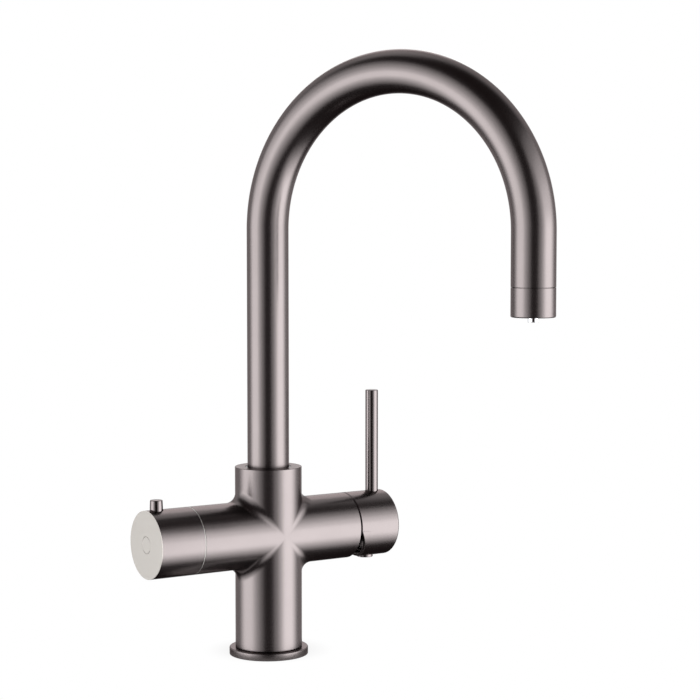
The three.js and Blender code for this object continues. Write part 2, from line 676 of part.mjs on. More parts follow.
function ringNut() {
  return revolve([
    [nutBore, nutStart], [nutRadius, nutStart], [nutRadius, nutStart + NUT_LENGTH - EDGE_CHAMFER],
    [nutRadius - EDGE_CHAMFER, nutStart + NUT_LENGTH], [nutBore, nutStart + NUT_LENGTH],
  ], MEDIUM);
}

function discCarrier() {
  const plateRadius = chamberRadius - GAP;
  const neckTop = pivot + 2 * STEM_PIN_RADIUS + GAP;
  const body = revolve([
    [0, carrierStart], [plateRadius, carrierStart], [plateRadius, carrierPlateEnd],
    [CARRIER_NECK, carrierPlateEnd], [CARRIER_NECK, neckTop], [0, neckTop],
  ], MEDIUM);
  const low = STEM_WIDTH / 2 + GAP + (neckTop - pivot) * Math.tan(degrees(TILT_RANGE));
  const slot = block(STEM_WIDTH + 2 * GAP, low + slotTop, carrierStart - OVERRUN, neckTop + OVERRUN)
    .translate(0, (slotTop - low) / 2, 0);
  const pinHole = bar(STEM_PIN_RADIUS + GAP / 2, -CARRIER_NECK - OVERRUN, CARRIER_NECK + OVERRUN, COARSE)
    .rotateY(Math.PI / 2)
    .translate(0, 0, pivot);
  return cut(body, slot, pinHole);
}

function movingCeramicDisc() {
  const recess = block(STEM_TIP_WIDTH + 2 * GAP, STEM_TIP_WIDTH + STEM_TIP_PLAY, stemTip - GAP,
    movingDiscStart + DISC_THICKNESS + OVERRUN);
  const radius = chamberRadius - tiltSlide / 2 - 2 * GAP;
  const body = bar(radius, movingDiscStart, movingDiscStart + DISC_THICKNESS, MEDIUM)
    .translate(0, -tiltSlide / 2, 0);
  return cut(body, recess);
}

function cartridgeStem() {
  const shank = block(STEM_WIDTH, STEM_WIDTH, carrierStart + GAP, stemEnd);
  const tip = block(STEM_TIP_WIDTH, STEM_TIP_WIDTH, stemTip, carrierStart + 2 * GAP);
  const pinHole = bar(STEM_PIN_RADIUS + GAP / 2, -STEM_WIDTH, STEM_WIDTH, COARSE)
    .rotateY(Math.PI / 2)
    .translate(0, 0, pivot);
  return cut(join(shank, tip), pinHole);
}

function cartridgeDome() {
  const outer = domeRadius;
  const inner = domeRadius - DOME_WALL;
  const steps = 2 * EDGE_STEPS;
  const rimOuter = inDegrees(Math.acos((capStart - pivot) / outer));
  const rimInner = inDegrees(Math.acos((capStart - pivot) / inner));
  const mouthOuter = inDegrees(Math.asin(DOME_OPENING / outer));
  const mouthInner = inDegrees(Math.asin(DOME_OPENING / inner));
  const outside = arc([0, pivot], outer, 90 - rimOuter, 90 - mouthOuter, steps);
  const inside = arc([0, pivot], inner, 90 - mouthInner, 90 - rimInner, steps);
  return revolve([...outside, ...inside], MEDIUM);
}

function leverHub() {
  const edge = arc([BODY_RADIUS - HUB_EDGE, hubEnd - HUB_EDGE], HUB_EDGE, 0, 90);
  const body = revolve([
    [0, cavityFloor], [hubCavityRadius, cavityFloor], [hubCavityRadius, capStart],
    [BODY_RADIUS - EDGE_CHAMFER, capStart], [BODY_RADIUS, capStart + EDGE_CHAMFER], ...edge, [0, hubEnd],
  ]);
  // relief under the arm's axis, so that the hub can tilt
  const depth = BODY_RADIUS + OVERRUN;
  const outline = new THREE.Shape([
    new THREE.Vector2(capStart - OVERRUN, 0),
    new THREE.Vector2(capStart, 0),
    new THREE.Vector2(capStart + depth * Math.tan(degrees(WEDGE_ANGLE)), -depth),
    new THREE.Vector2(capStart - OVERRUN, -depth),
  ]);
  const relief = plate(outline, -depth, depth).rotateY(-Math.PI / 2);
  const stemSocket = block(STEM_WIDTH + 2 * GAP, STEM_WIDTH + 2 * GAP, cavityFloor - OVERRUN, stemEnd + GAP);
  const leverSocket = bar(LEVER_RADIUS + GAP / 2, leverFoot - GAP, BODY_RADIUS + OVERRUN, MEDIUM);
  const screwBore = bar(screwHole, STEM_WIDTH / 2, BODY_RADIUS, COARSE);
  const plugSeat = bar(PLUG_RADIUS + GAP / 2, BODY_RADIUS - PLUG_SEAT, BODY_RADIUS + OVERRUN, MEDIUM);
  return cut(body, relief, stemSocket, upright(leverSocket, leverPlace), hanging(screwBore, plugPlace),
    hanging(plugSeat, plugPlace));
}

function leverRod() {
  const top = BODY_RADIUS + LEVER_RISE;
  return upright(revolve([
    [0, leverFoot], [LEVER_RADIUS, leverFoot], [LEVER_RADIUS, top - EDGE_CHAMFER],
    [LEVER_RADIUS - EDGE_CHAMFER, top], [0, top],
  ], MEDIUM), leverPlace);
}

function hubPlug() {
  const top = BODY_RADIUS - PLUG_SEAT + GAP;
  const bottom = BODY_RADIUS + PLUG_PROUD;
  return hanging(revolve([
    [PLUG_HOLE, top], [PLUG_RADIUS, top], [PLUG_RADIUS, bottom - EDGE_CHAMFER],
    [PLUG_RADIUS - EDGE_CHAMFER, bottom], [PLUG_HOLE, bottom],
  ], MEDIUM), plugPlace);
}

const hubScrewTip = STEM_WIDTH / 2 + GAP;
const hubScrewLength = BODY_RADIUS - PLUG_SEAT - GAP - hubScrewTip;
const stemPinReach = CARRIER_NECK - 2 * GAP;

add(rightArm, 'cartridge_base_seal', portedPlate(shoulderRadius - 2 * GAP, valveSealStart,
  valveSealStart + SEAL_THICKNESS), finishes.rubber);
add(rightArm, 'cartridge_base', portedPlate(shoulderRadius, valveStart, baseEnd), finishes.whitePlastic);
add(rightArm, 'cartridge_housing', cartridgeHousing(), finishes.whitePlastic);
add(rightArm, 'fixed_ceramic_disc', portedPlate(chamberRadius - GAP, fixedDiscStart,
  fixedDiscStart + DISC_THICKNESS), finishes.ceramic);
add(rightArm, 'moving_ceramic_disc', movingCeramicDisc(), finishes.ceramic);
add(rightArm, 'disc_carrier', discCarrier(), finishes.blackPlastic);
add(rightArm, 'stem_pin', bar(STEM_PIN_RADIUS, -stemPinReach, stemPinReach, COARSE)
  .rotateY(Math.PI / 2)
  .translate(0, 0, pivot), finishes.steel);
add(rightArm, 'cartridge_stem', cartridgeStem(), finishes.steel);
add(rightArm, 'cartridge_nut', ringNut(), finishes.brass);
add(rightArm, 'cartridge_dome', cartridgeDome(), finishes.blackPlastic);
add(rightArm, 'lever_hub', leverHub(), finishes.gunmetal);
add(rightArm, 'lever_rod', leverRod(), finishes.gunmetal);
add(rightArm, 'hub_grub_screw', hanging(setScrew(hubScrewLength).translate(0, 0, hubScrewTip), plugPlace),
  finishes.steel);
add(rightArm, 'hub_plug', hubPlug(), finishes.gunmetal);

// ---------------------------------------------------------------- boiling knob, on the left arm

const valveDiscRadius = VALVE_RADIUS - VALVE_WALL - GAP;
const boilFixedStart = valveStart;
const boilMovingStart = boilFixedStart + DISC_THICKNESS + GAP;
const spindleStart = boilMovingStart + DISC_THICKNESS + GAP;
const driverEnd = spindleStart + SPINDLE_DRIVER;
const knobFace = capStart + KNOB_LENGTH;
const shellEnd = knobFace - CAP_THICKNESS - CAP_SEAM;
const endWallStart = shellEnd - KNOB_END_WALL;
const bossStart = endWallStart - KNOB_BOSS;
const adaptorEnd = bossStart - GAP;
const adaptorStart = capStart + SLEEVE_FLOOR + ADAPTOR_STANDOFF;
const spindleEnd = (adaptorStart + adaptorEnd) / 2;
const squareStart = adaptorStart - GAP;
const sleeveInner = SLEEVE_OUTER - SLEEVE_WALL;
const sleeveEnd = endWallStart - 2 * GAP;
const knobCavity = BODY_RADIUS - KNOB_WALL;
const buttonPlace = knobFace - BUTTON_SETBACK;
const buttonBore = BUTTON_RADIUS + GAP;
const pinBore = BUTTON_PIN_RADIUS + GAP;
const bossRadius = shellEnd - buttonPlace - GAP;
const bossBottom = SLEEVE_OUTER + 2 * GAP;
const bossFloor = bossBottom + BUTTON_SEAT;
const buttonTop = BODY_RADIUS + BUTTON_PROUD;
const headBottom = knobCavity + BUTTON_TRAVEL - 2 * GAP;
const clipTop = sleeveInner - 1.5 * GAP;
const clipBottom = clipTop - CLIP_THICKNESS;
const clipBore = BUTTON_PIN_RADIUS - CLIP_GROOVE + GAP / 3;
const pinTip = clipBottom - GAP;
const screwHeadRadius = 2 * SCREW_RADIUS;
const screwHeadLength = SCREW_RADIUS;
const screwBossRadius = screwHeadRadius + KNOB_BOSS_WIDTH;
const screwHeadStart = shellEnd - screwHeadLength - GAP;
const spindleRingPlace = (shoulderTop + neckEnd) / 2;
const spindleRingRadius = SPINDLE_RADIUS + GAP / 2 - SPINDLE_RING_SECTION;
const spindleWaist = spindleRingRadius - SPINDLE_RING_SECTION - GAP / 3;

function valveBody() {
  const cavity = valveDiscRadius + GAP;
  const neckBore = SPINDLE_RADIUS + GAP;
  const shoulder = shoulderTop - 2 * SHOULDER_THICKNESS;
  const body = revolve([
    [cavity, valveStart], [VALVE_RADIUS, valveStart], [VALVE_RADIUS, shoulder], [shoulderRadius, shoulder],
    [shoulderRadius, shoulderTop], [NECK_RADIUS, shoulderTop], [NECK_RADIUS, neckEnd], [neckBore, neckEnd],
    [neckBore, driverEnd + GAP], [cavity, driverEnd + GAP],
  ], MEDIUM);
  const window = bar(WATERWAY_RADIUS - GAP, -VALVE_RADIUS - OVERRUN, VALVE_RADIUS + OVERRUN, COARSE);
  return cut(body, upright(window, boilMovingStart + DISC_THICKNESS / 2));
}

// ceramic disc with two openings that the moving disc covers or uncovers
function boilDisc(from) {
  const shape = disc(valveDiscRadius);
  for (const angle of [0, 180]) drill(shape, onCircle(valveDiscRadius / 2, angle), valveDiscRadius / 4);
  return plate(shape, from, from + DISC_THICKNESS);
}

function boilSpindle() {
  const halfGroove = SPINDLE_RING_SECTION + GAP / 2;
  const shaft = revolve([
    [0, spindleStart], [valveDiscRadius, spindleStart], [valveDiscRadius, driverEnd],
    [SPINDLE_RADIUS, driverEnd], [SPINDLE_RADIUS, spindleRingPlace - halfGroove],
    [spindleWaist, spindleRingPlace - halfGroove], [spindleWaist, spindleRingPlace + halfGroove],
    [SPINDLE_RADIUS, spindleRingPlace + halfGroove], [SPINDLE_RADIUS, squareStart], [0, squareStart],
  ], MEDIUM);
  const square = block(SPINDLE_SQUARE, SPINDLE_SQUARE, squareStart - OVERRUN, spindleEnd);
  const thread = bar(screwHole, spindleEnd - SPINDLE_THREAD, spindleEnd + OVERRUN, COARSE);
  return cut(join(shaft, square), thread);
}

function lockSleeve() {
  const body = revolve([
    [SPINDLE_RADIUS + GAP, capStart], [SLEEVE_OUTER, capStart], [SLEEVE_OUTER, sleeveEnd],
    [sleeveInner, sleeveEnd], [sleeveInner, capStart + SLEEVE_FLOOR],
    [SPINDLE_RADIUS + GAP, capStart + SLEEVE_FLOOR],
  ]);
  // slot for the button's pin: from the top to the front, which is as far as the knob turns
  const middle = (SLEEVE_OUTER + sleeveInner) / 2;
  const spare = inDegrees(Math.asin(pinBore / middle)) + SLOT_SPARE;
  const [start, end] = [90 - KNOB_TURN - spare, 90 + spare];
  const outline = [
    ...arc([0, 0], SLEEVE_OUTER + OVERRUN, start, end, SECTION),
    ...arc([0, 0], sleeveInner - OVERRUN, end, start, SECTION),
  ];
  const slot = new THREE.Shape(outline.map(([x, y]) => new THREE.Vector2(x, y)));
  return cut(body, plate(slot, buttonPlace - pinBore, buttonPlace + pinBore));
}

function knobShell() {
  const body = revolve([
    [screwHole, bossStart], [screwBossRadius, bossStart], [screwBossRadius, endWallStart],
    [knobCavity, endWallStart], [knobCavity, capStart], [BODY_RADIUS - EDGE_CHAMFER, capStart],
    [BODY_RADIUS, capStart + EDGE_CHAMFER], [BODY_RADIUS, shellEnd], [screwHeadRadius + GAP, shellEnd],
    [screwHeadRadius + GAP, screwHeadStart], [screwHole, screwHeadStart],
  ]);
  const boss = upright(bar(bossRadius, bossBottom, knobCavity + KNOB_WALL / 2, MEDIUM), buttonPlace);
  const bore = upright(bar(buttonBore, bossFloor, BODY_RADIUS + OVERRUN, MEDIUM), buttonPlace);
  const pinHole = upright(bar(pinBore, bossBottom - OVERRUN, BODY_RADIUS, COARSE), buttonPlace);
  return cut(join(body, boss), bore, pinHole);
}

function knobEndCap() {
  const start = shellEnd + CAP_SEAM;
  return revolve([
    [0, start], [BODY_RADIUS, start], [BODY_RADIUS, knobFace - EDGE_CHAMFER],
    [BODY_RADIUS - EDGE_CHAMFER, knobFace], [0, knobFace],
  ]);
}

function knobAdaptor() {
  const body = bar(ADAPTOR_RADIUS, adaptorStart, adaptorEnd, MEDIUM);
  const across = SPINDLE_SQUARE + 2 * GAP;
  const socket = block(across, across, adaptorStart - OVERRUN, spindleEnd + GAP);
  const screwPassage = bar(screwHole, spindleEnd, adaptorEnd + OVERRUN, COARSE);
  return cut(body, socket, screwPassage);
}

function knobScrew() {
  const tip = spindleEnd - SPINDLE_THREAD + SPINDLE_THREAD_SPARE;
  const headStart = screwHeadStart + GAP / 2;
  const headTop = headStart + screwHeadLength;
  const body = revolve([
    [0, tip], [SCREW_RADIUS, tip], [SCREW_RADIUS, headStart], [screwHeadRadius, headStart],
    [screwHeadRadius, headTop], [0, headTop],
  ], COARSE);
  return cut(body, bar(SCREW_RADIUS, headTop - screwHeadLength / 2, headTop + OVERRUN, HEXAGON));
}

function lockButton() {
  const [pin, waist] = [BUTTON_PIN_RADIUS, BUTTON_PIN_RADIUS - CLIP_GROOVE];
  return upright(revolve([
    [0, pinTip], [pin, pinTip], [pin, clipBottom - GAP / 3], [waist, clipBottom - GAP / 3],
    [waist, clipTop + GAP / 3], [pin, clipTop + GAP / 3], [pin, headBottom], [BUTTON_RADIUS, headBottom],
    [BUTTON_RADIUS, buttonTop - EDGE_CHAMFER], [BUTTON_RADIUS - EDGE_CHAMFER, buttonTop], [0, buttonTop],
  ], MEDIUM), buttonPlace);
}

class Helix extends THREE.Curve {
  constructor(radius, bottom, top, turns) {
    super();
    Object.assign(this, { radius, bottom, top, turns });
  }

  getPoint(t) {
    const at = onCircle(this.radius, 360 * this.turns * t);
    return at.setZ(THREE.MathUtils.lerp(this.bottom, this.top, t));
  }
}

function lockSpring() {
  const coil = (buttonBore + pinBore) / 2;
  const inset = GAP / 2 + SPRING_WIRE;
  const path = new Helix(coil, bossFloor + inset, headBottom - inset, SPRING_TURNS);
  const wire = new THREE.ExtrudeGeometry(disc(SPRING_WIRE, SECTION), {
    extrudePath: path, steps: SPRING_TURNS * COARSE, bevelEnabled: false,
  });
  return upright(wire, buttonPlace);
}

add(leftArm, 'valve_seat_seal', sleeve(valveDiscRadius, WATERWAY_RADIUS + GAP, valveSealStart,
  valveSealStart + SEAL_THICKNESS, MEDIUM), finishes.rubber);
add(leftArm, 'boil_fixed_disc', boilDisc(boilFixedStart), finishes.ceramic);
add(leftArm, 'boil_moving_disc', boilDisc(boilMovingStart), finishes.ceramic);
add(leftArm, 'valve_body', valveBody(), finishes.brass);
add(leftArm, 'valve_nut', ringNut(), finishes.brass);
add(leftArm, 'boil_spindle', boilSpindle(), finishes.brass);
add(leftArm, 'spindle_o_ring', oRing(spindleRingRadius, SPINDLE_RING_SECTION, spindleRingPlace, COARSE),
  finishes.rubber);
add(leftArm, 'lock_sleeve', lockSleeve(), finishes.steel);
add(leftArm, 'knob_glide_ring', sleeve(knobCavity - GAP, SLEEVE_OUTER + GAP, capStart + GAP,
  capStart + GAP + GLIDE_LENGTH, MEDIUM), finishes.whitePlastic);
add(leftArm, 'knob_shell', knobShell(), finishes.gunmetal);
add(leftArm, 'knob_end_cap', knobEndCap(), finishes.steel);
add(leftArm, 'knob_adaptor', knobAdaptor(), finishes.blackPlastic);
add(leftArm, 'knob_screw', knobScrew(), finishes.steel);
add(leftArm, 'lock_button', lockButton(), finishes.gunmetal);
add(leftArm, 'lock_clip', upright(sleeve(BUTTON_PIN_RADIUS + CLIP_WIDTH, clipBore, clipBottom, clipTop,
  COARSE), buttonPlace), finishes.steel);
add(leftArm, 'lock_spring', lockSpring(), finishes.steel);

export default tap;
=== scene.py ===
"""Three-in-one boiling water tap: a turned cross body, a swan-neck spout, a boiling-water knob with its
child-lock peg and a mixer lever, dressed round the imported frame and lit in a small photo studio.

Metres. The origin is the centre of the base's underside, +Z is up, +X runs along the arms towards the
mixer lever, and the user stands on the -Y side.
"""

import math
from typing import NamedTuple

import bmesh
import bpy
import numpy as np
from bpy.props import FloatProperty, FloatVectorProperty, IntProperty, PointerProperty
from mathutils import Matrix, Vector


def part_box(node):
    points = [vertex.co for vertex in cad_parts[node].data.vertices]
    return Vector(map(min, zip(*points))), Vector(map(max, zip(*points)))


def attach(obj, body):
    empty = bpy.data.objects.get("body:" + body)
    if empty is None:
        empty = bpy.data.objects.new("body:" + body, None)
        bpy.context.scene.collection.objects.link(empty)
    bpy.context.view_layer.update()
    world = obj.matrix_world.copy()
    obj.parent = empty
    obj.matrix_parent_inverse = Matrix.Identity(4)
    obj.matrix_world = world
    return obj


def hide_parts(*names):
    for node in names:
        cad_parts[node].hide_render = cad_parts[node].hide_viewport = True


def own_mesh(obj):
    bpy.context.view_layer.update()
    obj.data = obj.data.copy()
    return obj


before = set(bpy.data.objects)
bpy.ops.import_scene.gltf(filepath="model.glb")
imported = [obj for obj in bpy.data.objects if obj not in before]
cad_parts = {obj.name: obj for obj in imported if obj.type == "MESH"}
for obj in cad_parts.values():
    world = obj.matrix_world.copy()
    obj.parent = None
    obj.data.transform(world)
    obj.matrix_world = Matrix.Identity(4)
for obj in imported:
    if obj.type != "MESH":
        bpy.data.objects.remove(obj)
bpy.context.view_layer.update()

bl_info = {
    "name": "Boiling Water Tap",
    "version": (1, 0, 0),
    "blender": (4, 5, 0),
    "location": "View3D > Sidebar > Tap",
    "description": "Dresses the packed frame of a boiling water tap and sets up its studio",
    "category": "Add Mesh",
}

MM = 0.001
X, Y, Z = range(3)
GRAIN = "grain"                    # attribute: place on a piece as if its axis were straight and upright
SMOOTH = {"interpolation_type": "SMOOTHSTEP"}
SHARP_ANGLE = math.radians(32)     # edges sharper than this are not shaded smooth
EASED_ANGLE = math.radians(64)     # edges sharper than this are rounded
SAME_PLACE = 0.001 * MM            # points nearer than this are merged
FIT = 0.15 * MM                    # room round a screw or a plug
LOOSE_FIT = 0.3 * MM               # room round the peg, the aerator and the boiling outlet
OVERRUN = 1 * MM                   # how far a cutter stands out of what it cuts
BODY_SIDES, TUBE_SIDES, PEG_SIDES, BAR_SIDES, HOLE_SIDES = 160, 128, 96, 64, 32  # of a circle


# ------------------------------------------------------------------ sizes read from the frame

def low(node, axis):
    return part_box(node)[0][axis]


def high(node, axis):
    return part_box(node)[1][axis]


def middle(node, axis):
    return (low(node, axis) + high(node, axis)) / 2


def width(node, axis):
    return high(node, axis) - low(node, axis)


def linear(code):
    """An sRGB hex colour as linear RGBA."""
    values = [int(code[i:i + 2], 16) / 255 for i in (1, 3, 5)]
    return [v / 12.92 if v <= 0.04045 else ((v + 0.055) / 1.055) ** 2.4 for v in values] + [1.0]


def length(label, about, default):
    return FloatProperty(name=label, description=about, default=default, min=0, unit="LENGTH", precision=5)


def turn(label, about, default):
    return FloatProperty(name=label, description=about, default=math.radians(default), unit="ROTATION")


def colour(label, about, code):
    return FloatVectorProperty(name=label, description=about, size=4, subtype="COLOR", min=0, max=1,
                               default=linear(code))


# ------------------------------------------------------------------ what a user would change

class TapBodySizes(bpy.types.PropertyGroup):
    """Sizes of the cross body and the ring that it stands on."""
    radius: length("Bar radius", "Radius of the upright bar and of both arms", high("cross_body", Y))
    fillet: length("Crotch radius", "Ball that blends the arms into the upright bar", 8.7 * MM)
    arm_height: length("Arm height", "Arms' axis above the deck", middle("knob_end_cap", Z))
    arm_reach: length("Arm reach", "From the body's axis to each arm's open end", high("cross_body", X))
    collar_top: length("Collar top", "Flat top of the body above the deck", high("cross_body", Z))
    foot: length("Foot", "Lower end of the body above the deck", low("cross_body", Z))
    edge: length("Collar edge", "Rounding of the collar's edges", 0.4 * MM)
    foot_edge: length("Foot edge", "Rounding of the foot's edge", 0.15 * MM)
    arm_edge: length("Arm edge", "Rounding of both arms' open ends", 0.2 * MM)
    socket_radius: length("Socket radius", "Bore that the spout turns in", 15.4 * MM)
    socket_depth: length("Socket depth", "Depth of that bore", 24 * MM)
    pocket_radius: length("Pocket radius", "Bore in each arm", 18 * MM)
    pocket_depth: length("Pocket depth", "Depth of each arm's bore", 30.3 * MM)
    foot_bore: length("Foot bore", "Bore for the inlet manifold", 18.5 * MM)
    foot_depth: length("Foot depth", "Height of the foot bore's ceiling above the deck", 42.6 * MM)
    ring_radius: length("Deck ring radius", "Ring that covers the hole in the deck", high("base_ring", X))
    ring_height: length("Deck ring height", "Height of that ring", high("base_ring", Z))
    ring_edge: length("Deck ring edge", "Rounding of the ring's upper edge", 0.8 * MM)
    ring_bore: length("Deck ring bore", "Hole through the ring", 18.8 * MM)
    gasket_groove: length("Gasket groove", "Depth of the groove for the gasket", 2.2 * MM)


class TapSpoutSizes(bpy.types.PropertyGroup):
    """Sizes of the swan neck and its nozzle."""
    tube_radius: length("Tube radius", "Outside of the swan neck", 14 * MM)
    wall: length("Tube wall", "Wall of the swan neck", 1.5 * MM)
    arch_radius: length("Arch radius", "Centre line of the half circle", 101 * MM)
    spring_height: length("Spring height", "Where the upright legs turn into the arch", 286.6 * MM)
    bottom: length("Tube foot", "Lower end of the tube, inside the collar", low("spout_tube", Z))
    nozzle_top: length("Nozzle joint", "End of the tube above the deck", 252.5 * MM)
    swing: turn("Swing", "Spout's turn from dead front towards the lever", 22.6)
    nozzle_bottom: length("Nozzle rim", "Lower rim of the nozzle above the deck", low("nozzle_ring", Z))
    nozzle_wall: length("Nozzle wall", "Wall of the nozzle at its rim", 3 * MM)
    nozzle_edge: length("Nozzle edge", "Rounding of the nozzle's rim", 1 * MM)
    aerator_holes: IntProperty(name="Aerator holes", description="Jets round the boiling outlet",
                               default=12, min=3, max=40)
    aerator_hole: length("Aerator hole", "Radius of one jet", 1.3 * MM)
    outlet_radius: length("Outlet radius", "Outside of the boiling outlet", 3.5 * MM)
    outlet_bore: length("Outlet bore", "Inside of the boiling outlet", 2.2 * MM)
    arch_steps: IntProperty(name="Arch steps", description="Rings of faces round the arch",
                            default=144, min=12, max=400)


class TapControlSizes(bpy.types.PropertyGroup):
    """Sizes of the mixer lever and the boiling-water knob."""
    cap_start: length("Joint", "From the body's axis to where hub and knob start", low("lever_hub", X))
    hub_end: length("Hub face", "From the body's axis to the hub's outer face", high("lever_hub", X))
    hub_edge: length("Hub edge", "Rounding of the hub's outer edge", 1.6 * MM)
    hub_lead: length("Hub lead", "Length of the chamfer that darkens the hub's joint", 1 * MM)
    hub_ease: length("Relief edge", "Rounding of the edges of the hub's cut", 0.4 * MM)
    hub_wall: length("Hub wall", "Wall round the hub's hollow", 2.2 * MM)
    hub_cavity: length("Hub hollow", "Depth of the hub's hollow", 15.2 * MM)
    wedge: turn("Relief", "Angle of the cut that lets the hub tilt", 22.5)
    pivot: length("Tilt axis", "From the body's axis to the lever's tilt axis", 57.9 * MM)
    lever_radius: length("Lever radius", "Radius of the lever's bar", width("lever_rod", X) / 2)
    plug_radius: length("Plug radius", "Cover plug under the hub", width("hub_plug", X) / 2)
    plug_hole: length("Plug hole", "Hole through that plug", 1.6 * MM)
    knob_face: length("Knob face", "From the body's axis to the knob's face", -low("knob_end_cap", X))
    knob_wall: length("Knob wall", "Wall of the knob", 2.2 * MM)
    knob_edge: length("Knob edge", "Rounding of the knob's inner edge", 0.1 * MM)
    washer: length("Joint washer", "What shows of the steel washer between arm and knob", 0.55 * MM)
    knob_joint: length("Knob joint", "How far the knob reaches into the frame's gap at its joint", 0.2 * MM)
    plate_thickness: length("Face plate", "Thickness of the plate on the knob's face",
                            width("knob_end_cap", X))
    plate_lip: length("Plate lip", "What shows of the plate's thickness, at its rim", 0.25 * MM)
    index_radius: length("Index ring", "Engraved ring in the middle of the knob's face", 5.6 * MM)
    peg_radius: length("Peg radius", "Radius of the child-lock peg", width("lock_button", Y) / 2)
    peg_taper: length("Peg taper", "How much thinner the peg is at its top", 0.2 * MM)
    peg_travel: length("Peg travel", "How far the child-lock peg goes in when it is pressed", 2 * MM)
    spring_wire: length("Spring wire", "Radius of the wire of the child lock's spring", 0.25 * MM)


class TapFinishes(bpy.types.PropertyGroup):
    """Colours of the finishes."""
    gunmetal: colour("Gunmetal", "Brushed gunmetal coating", "#726c6c")
    gunmetal_dark: colour("Gunmetal, dark", "Deepest tone of the coating", "#6c6666")
    gunmetal_polished: colour("Gunmetal, polished", "Polished gunmetal of the peg", "#6f696a")
    plate: colour("Face plate", "Faced stainless steel of the knob's plate", "#c0bcb6")
    chrome: colour("Chrome", "Polished chrome of the boiling outlet", "#e4e5e7")
    steel: colour("Steel", "Turned stainless steel", "#b4b3b0")
    brass: colour("Brass", "Machined brass", "#c6a864")
    ceramic: colour("Ceramic", "Lapped alumina", "#eae6dd")
    rubber: colour("Rubber", "Moulded rubber", "#1b1b1c")
    black_plastic: colour("Black plastic", "Moulded black acetal", "#141415")
    grey_plastic: colour("Grey plastic", "Moulded grey acetal", "#8b8d90")
    white_plastic: colour("White plastic", "Moulded natural acetal", "#e6e5df")
    floor: colour("Floor", "Pale studio floor", "#f2f1ef")


class TapStudioSettings(bpy.types.PropertyGroup):
    """Where the camera and the lamps stand."""
    camera_place: FloatVectorProperty(name="Camera", description="Where the camera stands", size=3,
                                      subtype="TRANSLATION", unit="LENGTH",
                                      default=(-0.6851, -1.1393, 0.2996))
    camera_heading: turn("Heading", "Camera's direction from +Y towards +X", 33.394)
    camera_pitch: turn("Pitch", "How far the camera looks down", 4.036)
    lens: FloatProperty(name="Lens", description="Focal length in millimetres", default=102.04)
    floor_radius: length("Floor", "Radius of the round white plinth", 48 * MM)
    floor_shift: length("Floor shift", "How far the plinth's middle is behind the tap", 10 * MM)
    lamp_distance: length("Lamps", "How far each softbox stands from the tap", 2.5)


# ------------------------------------------------------------------ building blocks

def node(tree, kind, inputs=(), **settings):
    """Adds a node with its settings. Its inputs come by name or in order, and each takes a value, another
    node's output, or a node, which stands for its first output."""
    made = tree.nodes.new(kind)
    for name, value in settings.items():
        setattr(made, name, value)
    for name, value in inputs.items() if isinstance(inputs, dict) else enumerate(inputs):
        if isinstance(value, bpy.types.Node):
            value = value.outputs[0]
        if isinstance(value, bpy.types.NodeSocket):
            tree.links.new(value, made.inputs[name])
        else:
            made.inputs[name].default_value = value
    return made


def empty_tree(owner):
    """The node tree of a material or a world, emptied."""
    owner.use_nodes = True
    owner.node_tree.nodes.clear()
    return owner.node_tree


def placed(name, data):
    """A new object in the scene."""
    made = bpy.data.objects.new(name, data)
    bpy.context.scene.collection.objects.link(made)
    return made


def rounded(corners, steps=5):
    """Points of a profile from its corners: (radius, height) or (radius, height, rounding)."""
    points = []
    for i, (radius, height, *rounding) in enumerate(corners):
        here = Vector((radius, height))
        if not rounding or not rounding[0]:
            points.append(here)
            continue
        before = (Vector(corners[i - 1][:2]) - here).normalized()
        after = (Vector(corners[(i + 1) % len(corners)][:2]) - here).normalized()
        half = before.angle(after) / 2
        reach = rounding[0] / math.tan(half)
        centre = here + (before + after).normalized() * (rounding[0] / math.sin(half))
        first = here + before * reach - centre
        last = here + after * reach - centre
        for k in range(steps + 1):
            points.append(centre + first.slerp(last, k / steps) * rounding[0])
    return points


def piece_from(name, vertices, faces, grain=None):
    """A new object whose mesh is closed and faces outwards, with its grain kept on each face corner.
    Faces come with vertices of their own, which are merged here."""
    mesh = bpy.data.meshes.new(name)
    mesh.from_pydata([tuple(v) for v in vertices], [], faces)
    corners = mesh.attributes.new(GRAIN, "FLOAT_VECTOR", "CORNER")
    if grain is None:
        grain = [vertices[i] for face in faces for i in face]
    corners.data.foreach_set("vector", np.array(grain, np.float32).ravel())
    shape = bmesh.new()
    shape.from_mesh(mesh)
    bmesh.ops.remove_doubles(shape, verts=shape.verts, dist=SAME_PLACE)
    bmesh.ops.dissolve_degenerate(shape, edges=shape.edges, dist=SAME_PLACE / 10)
    bmesh.ops.recalc_face_normals(shape, faces=shape.faces)
    shape.to_mesh(mesh)
    shape.free()
    return placed(name, mesh)


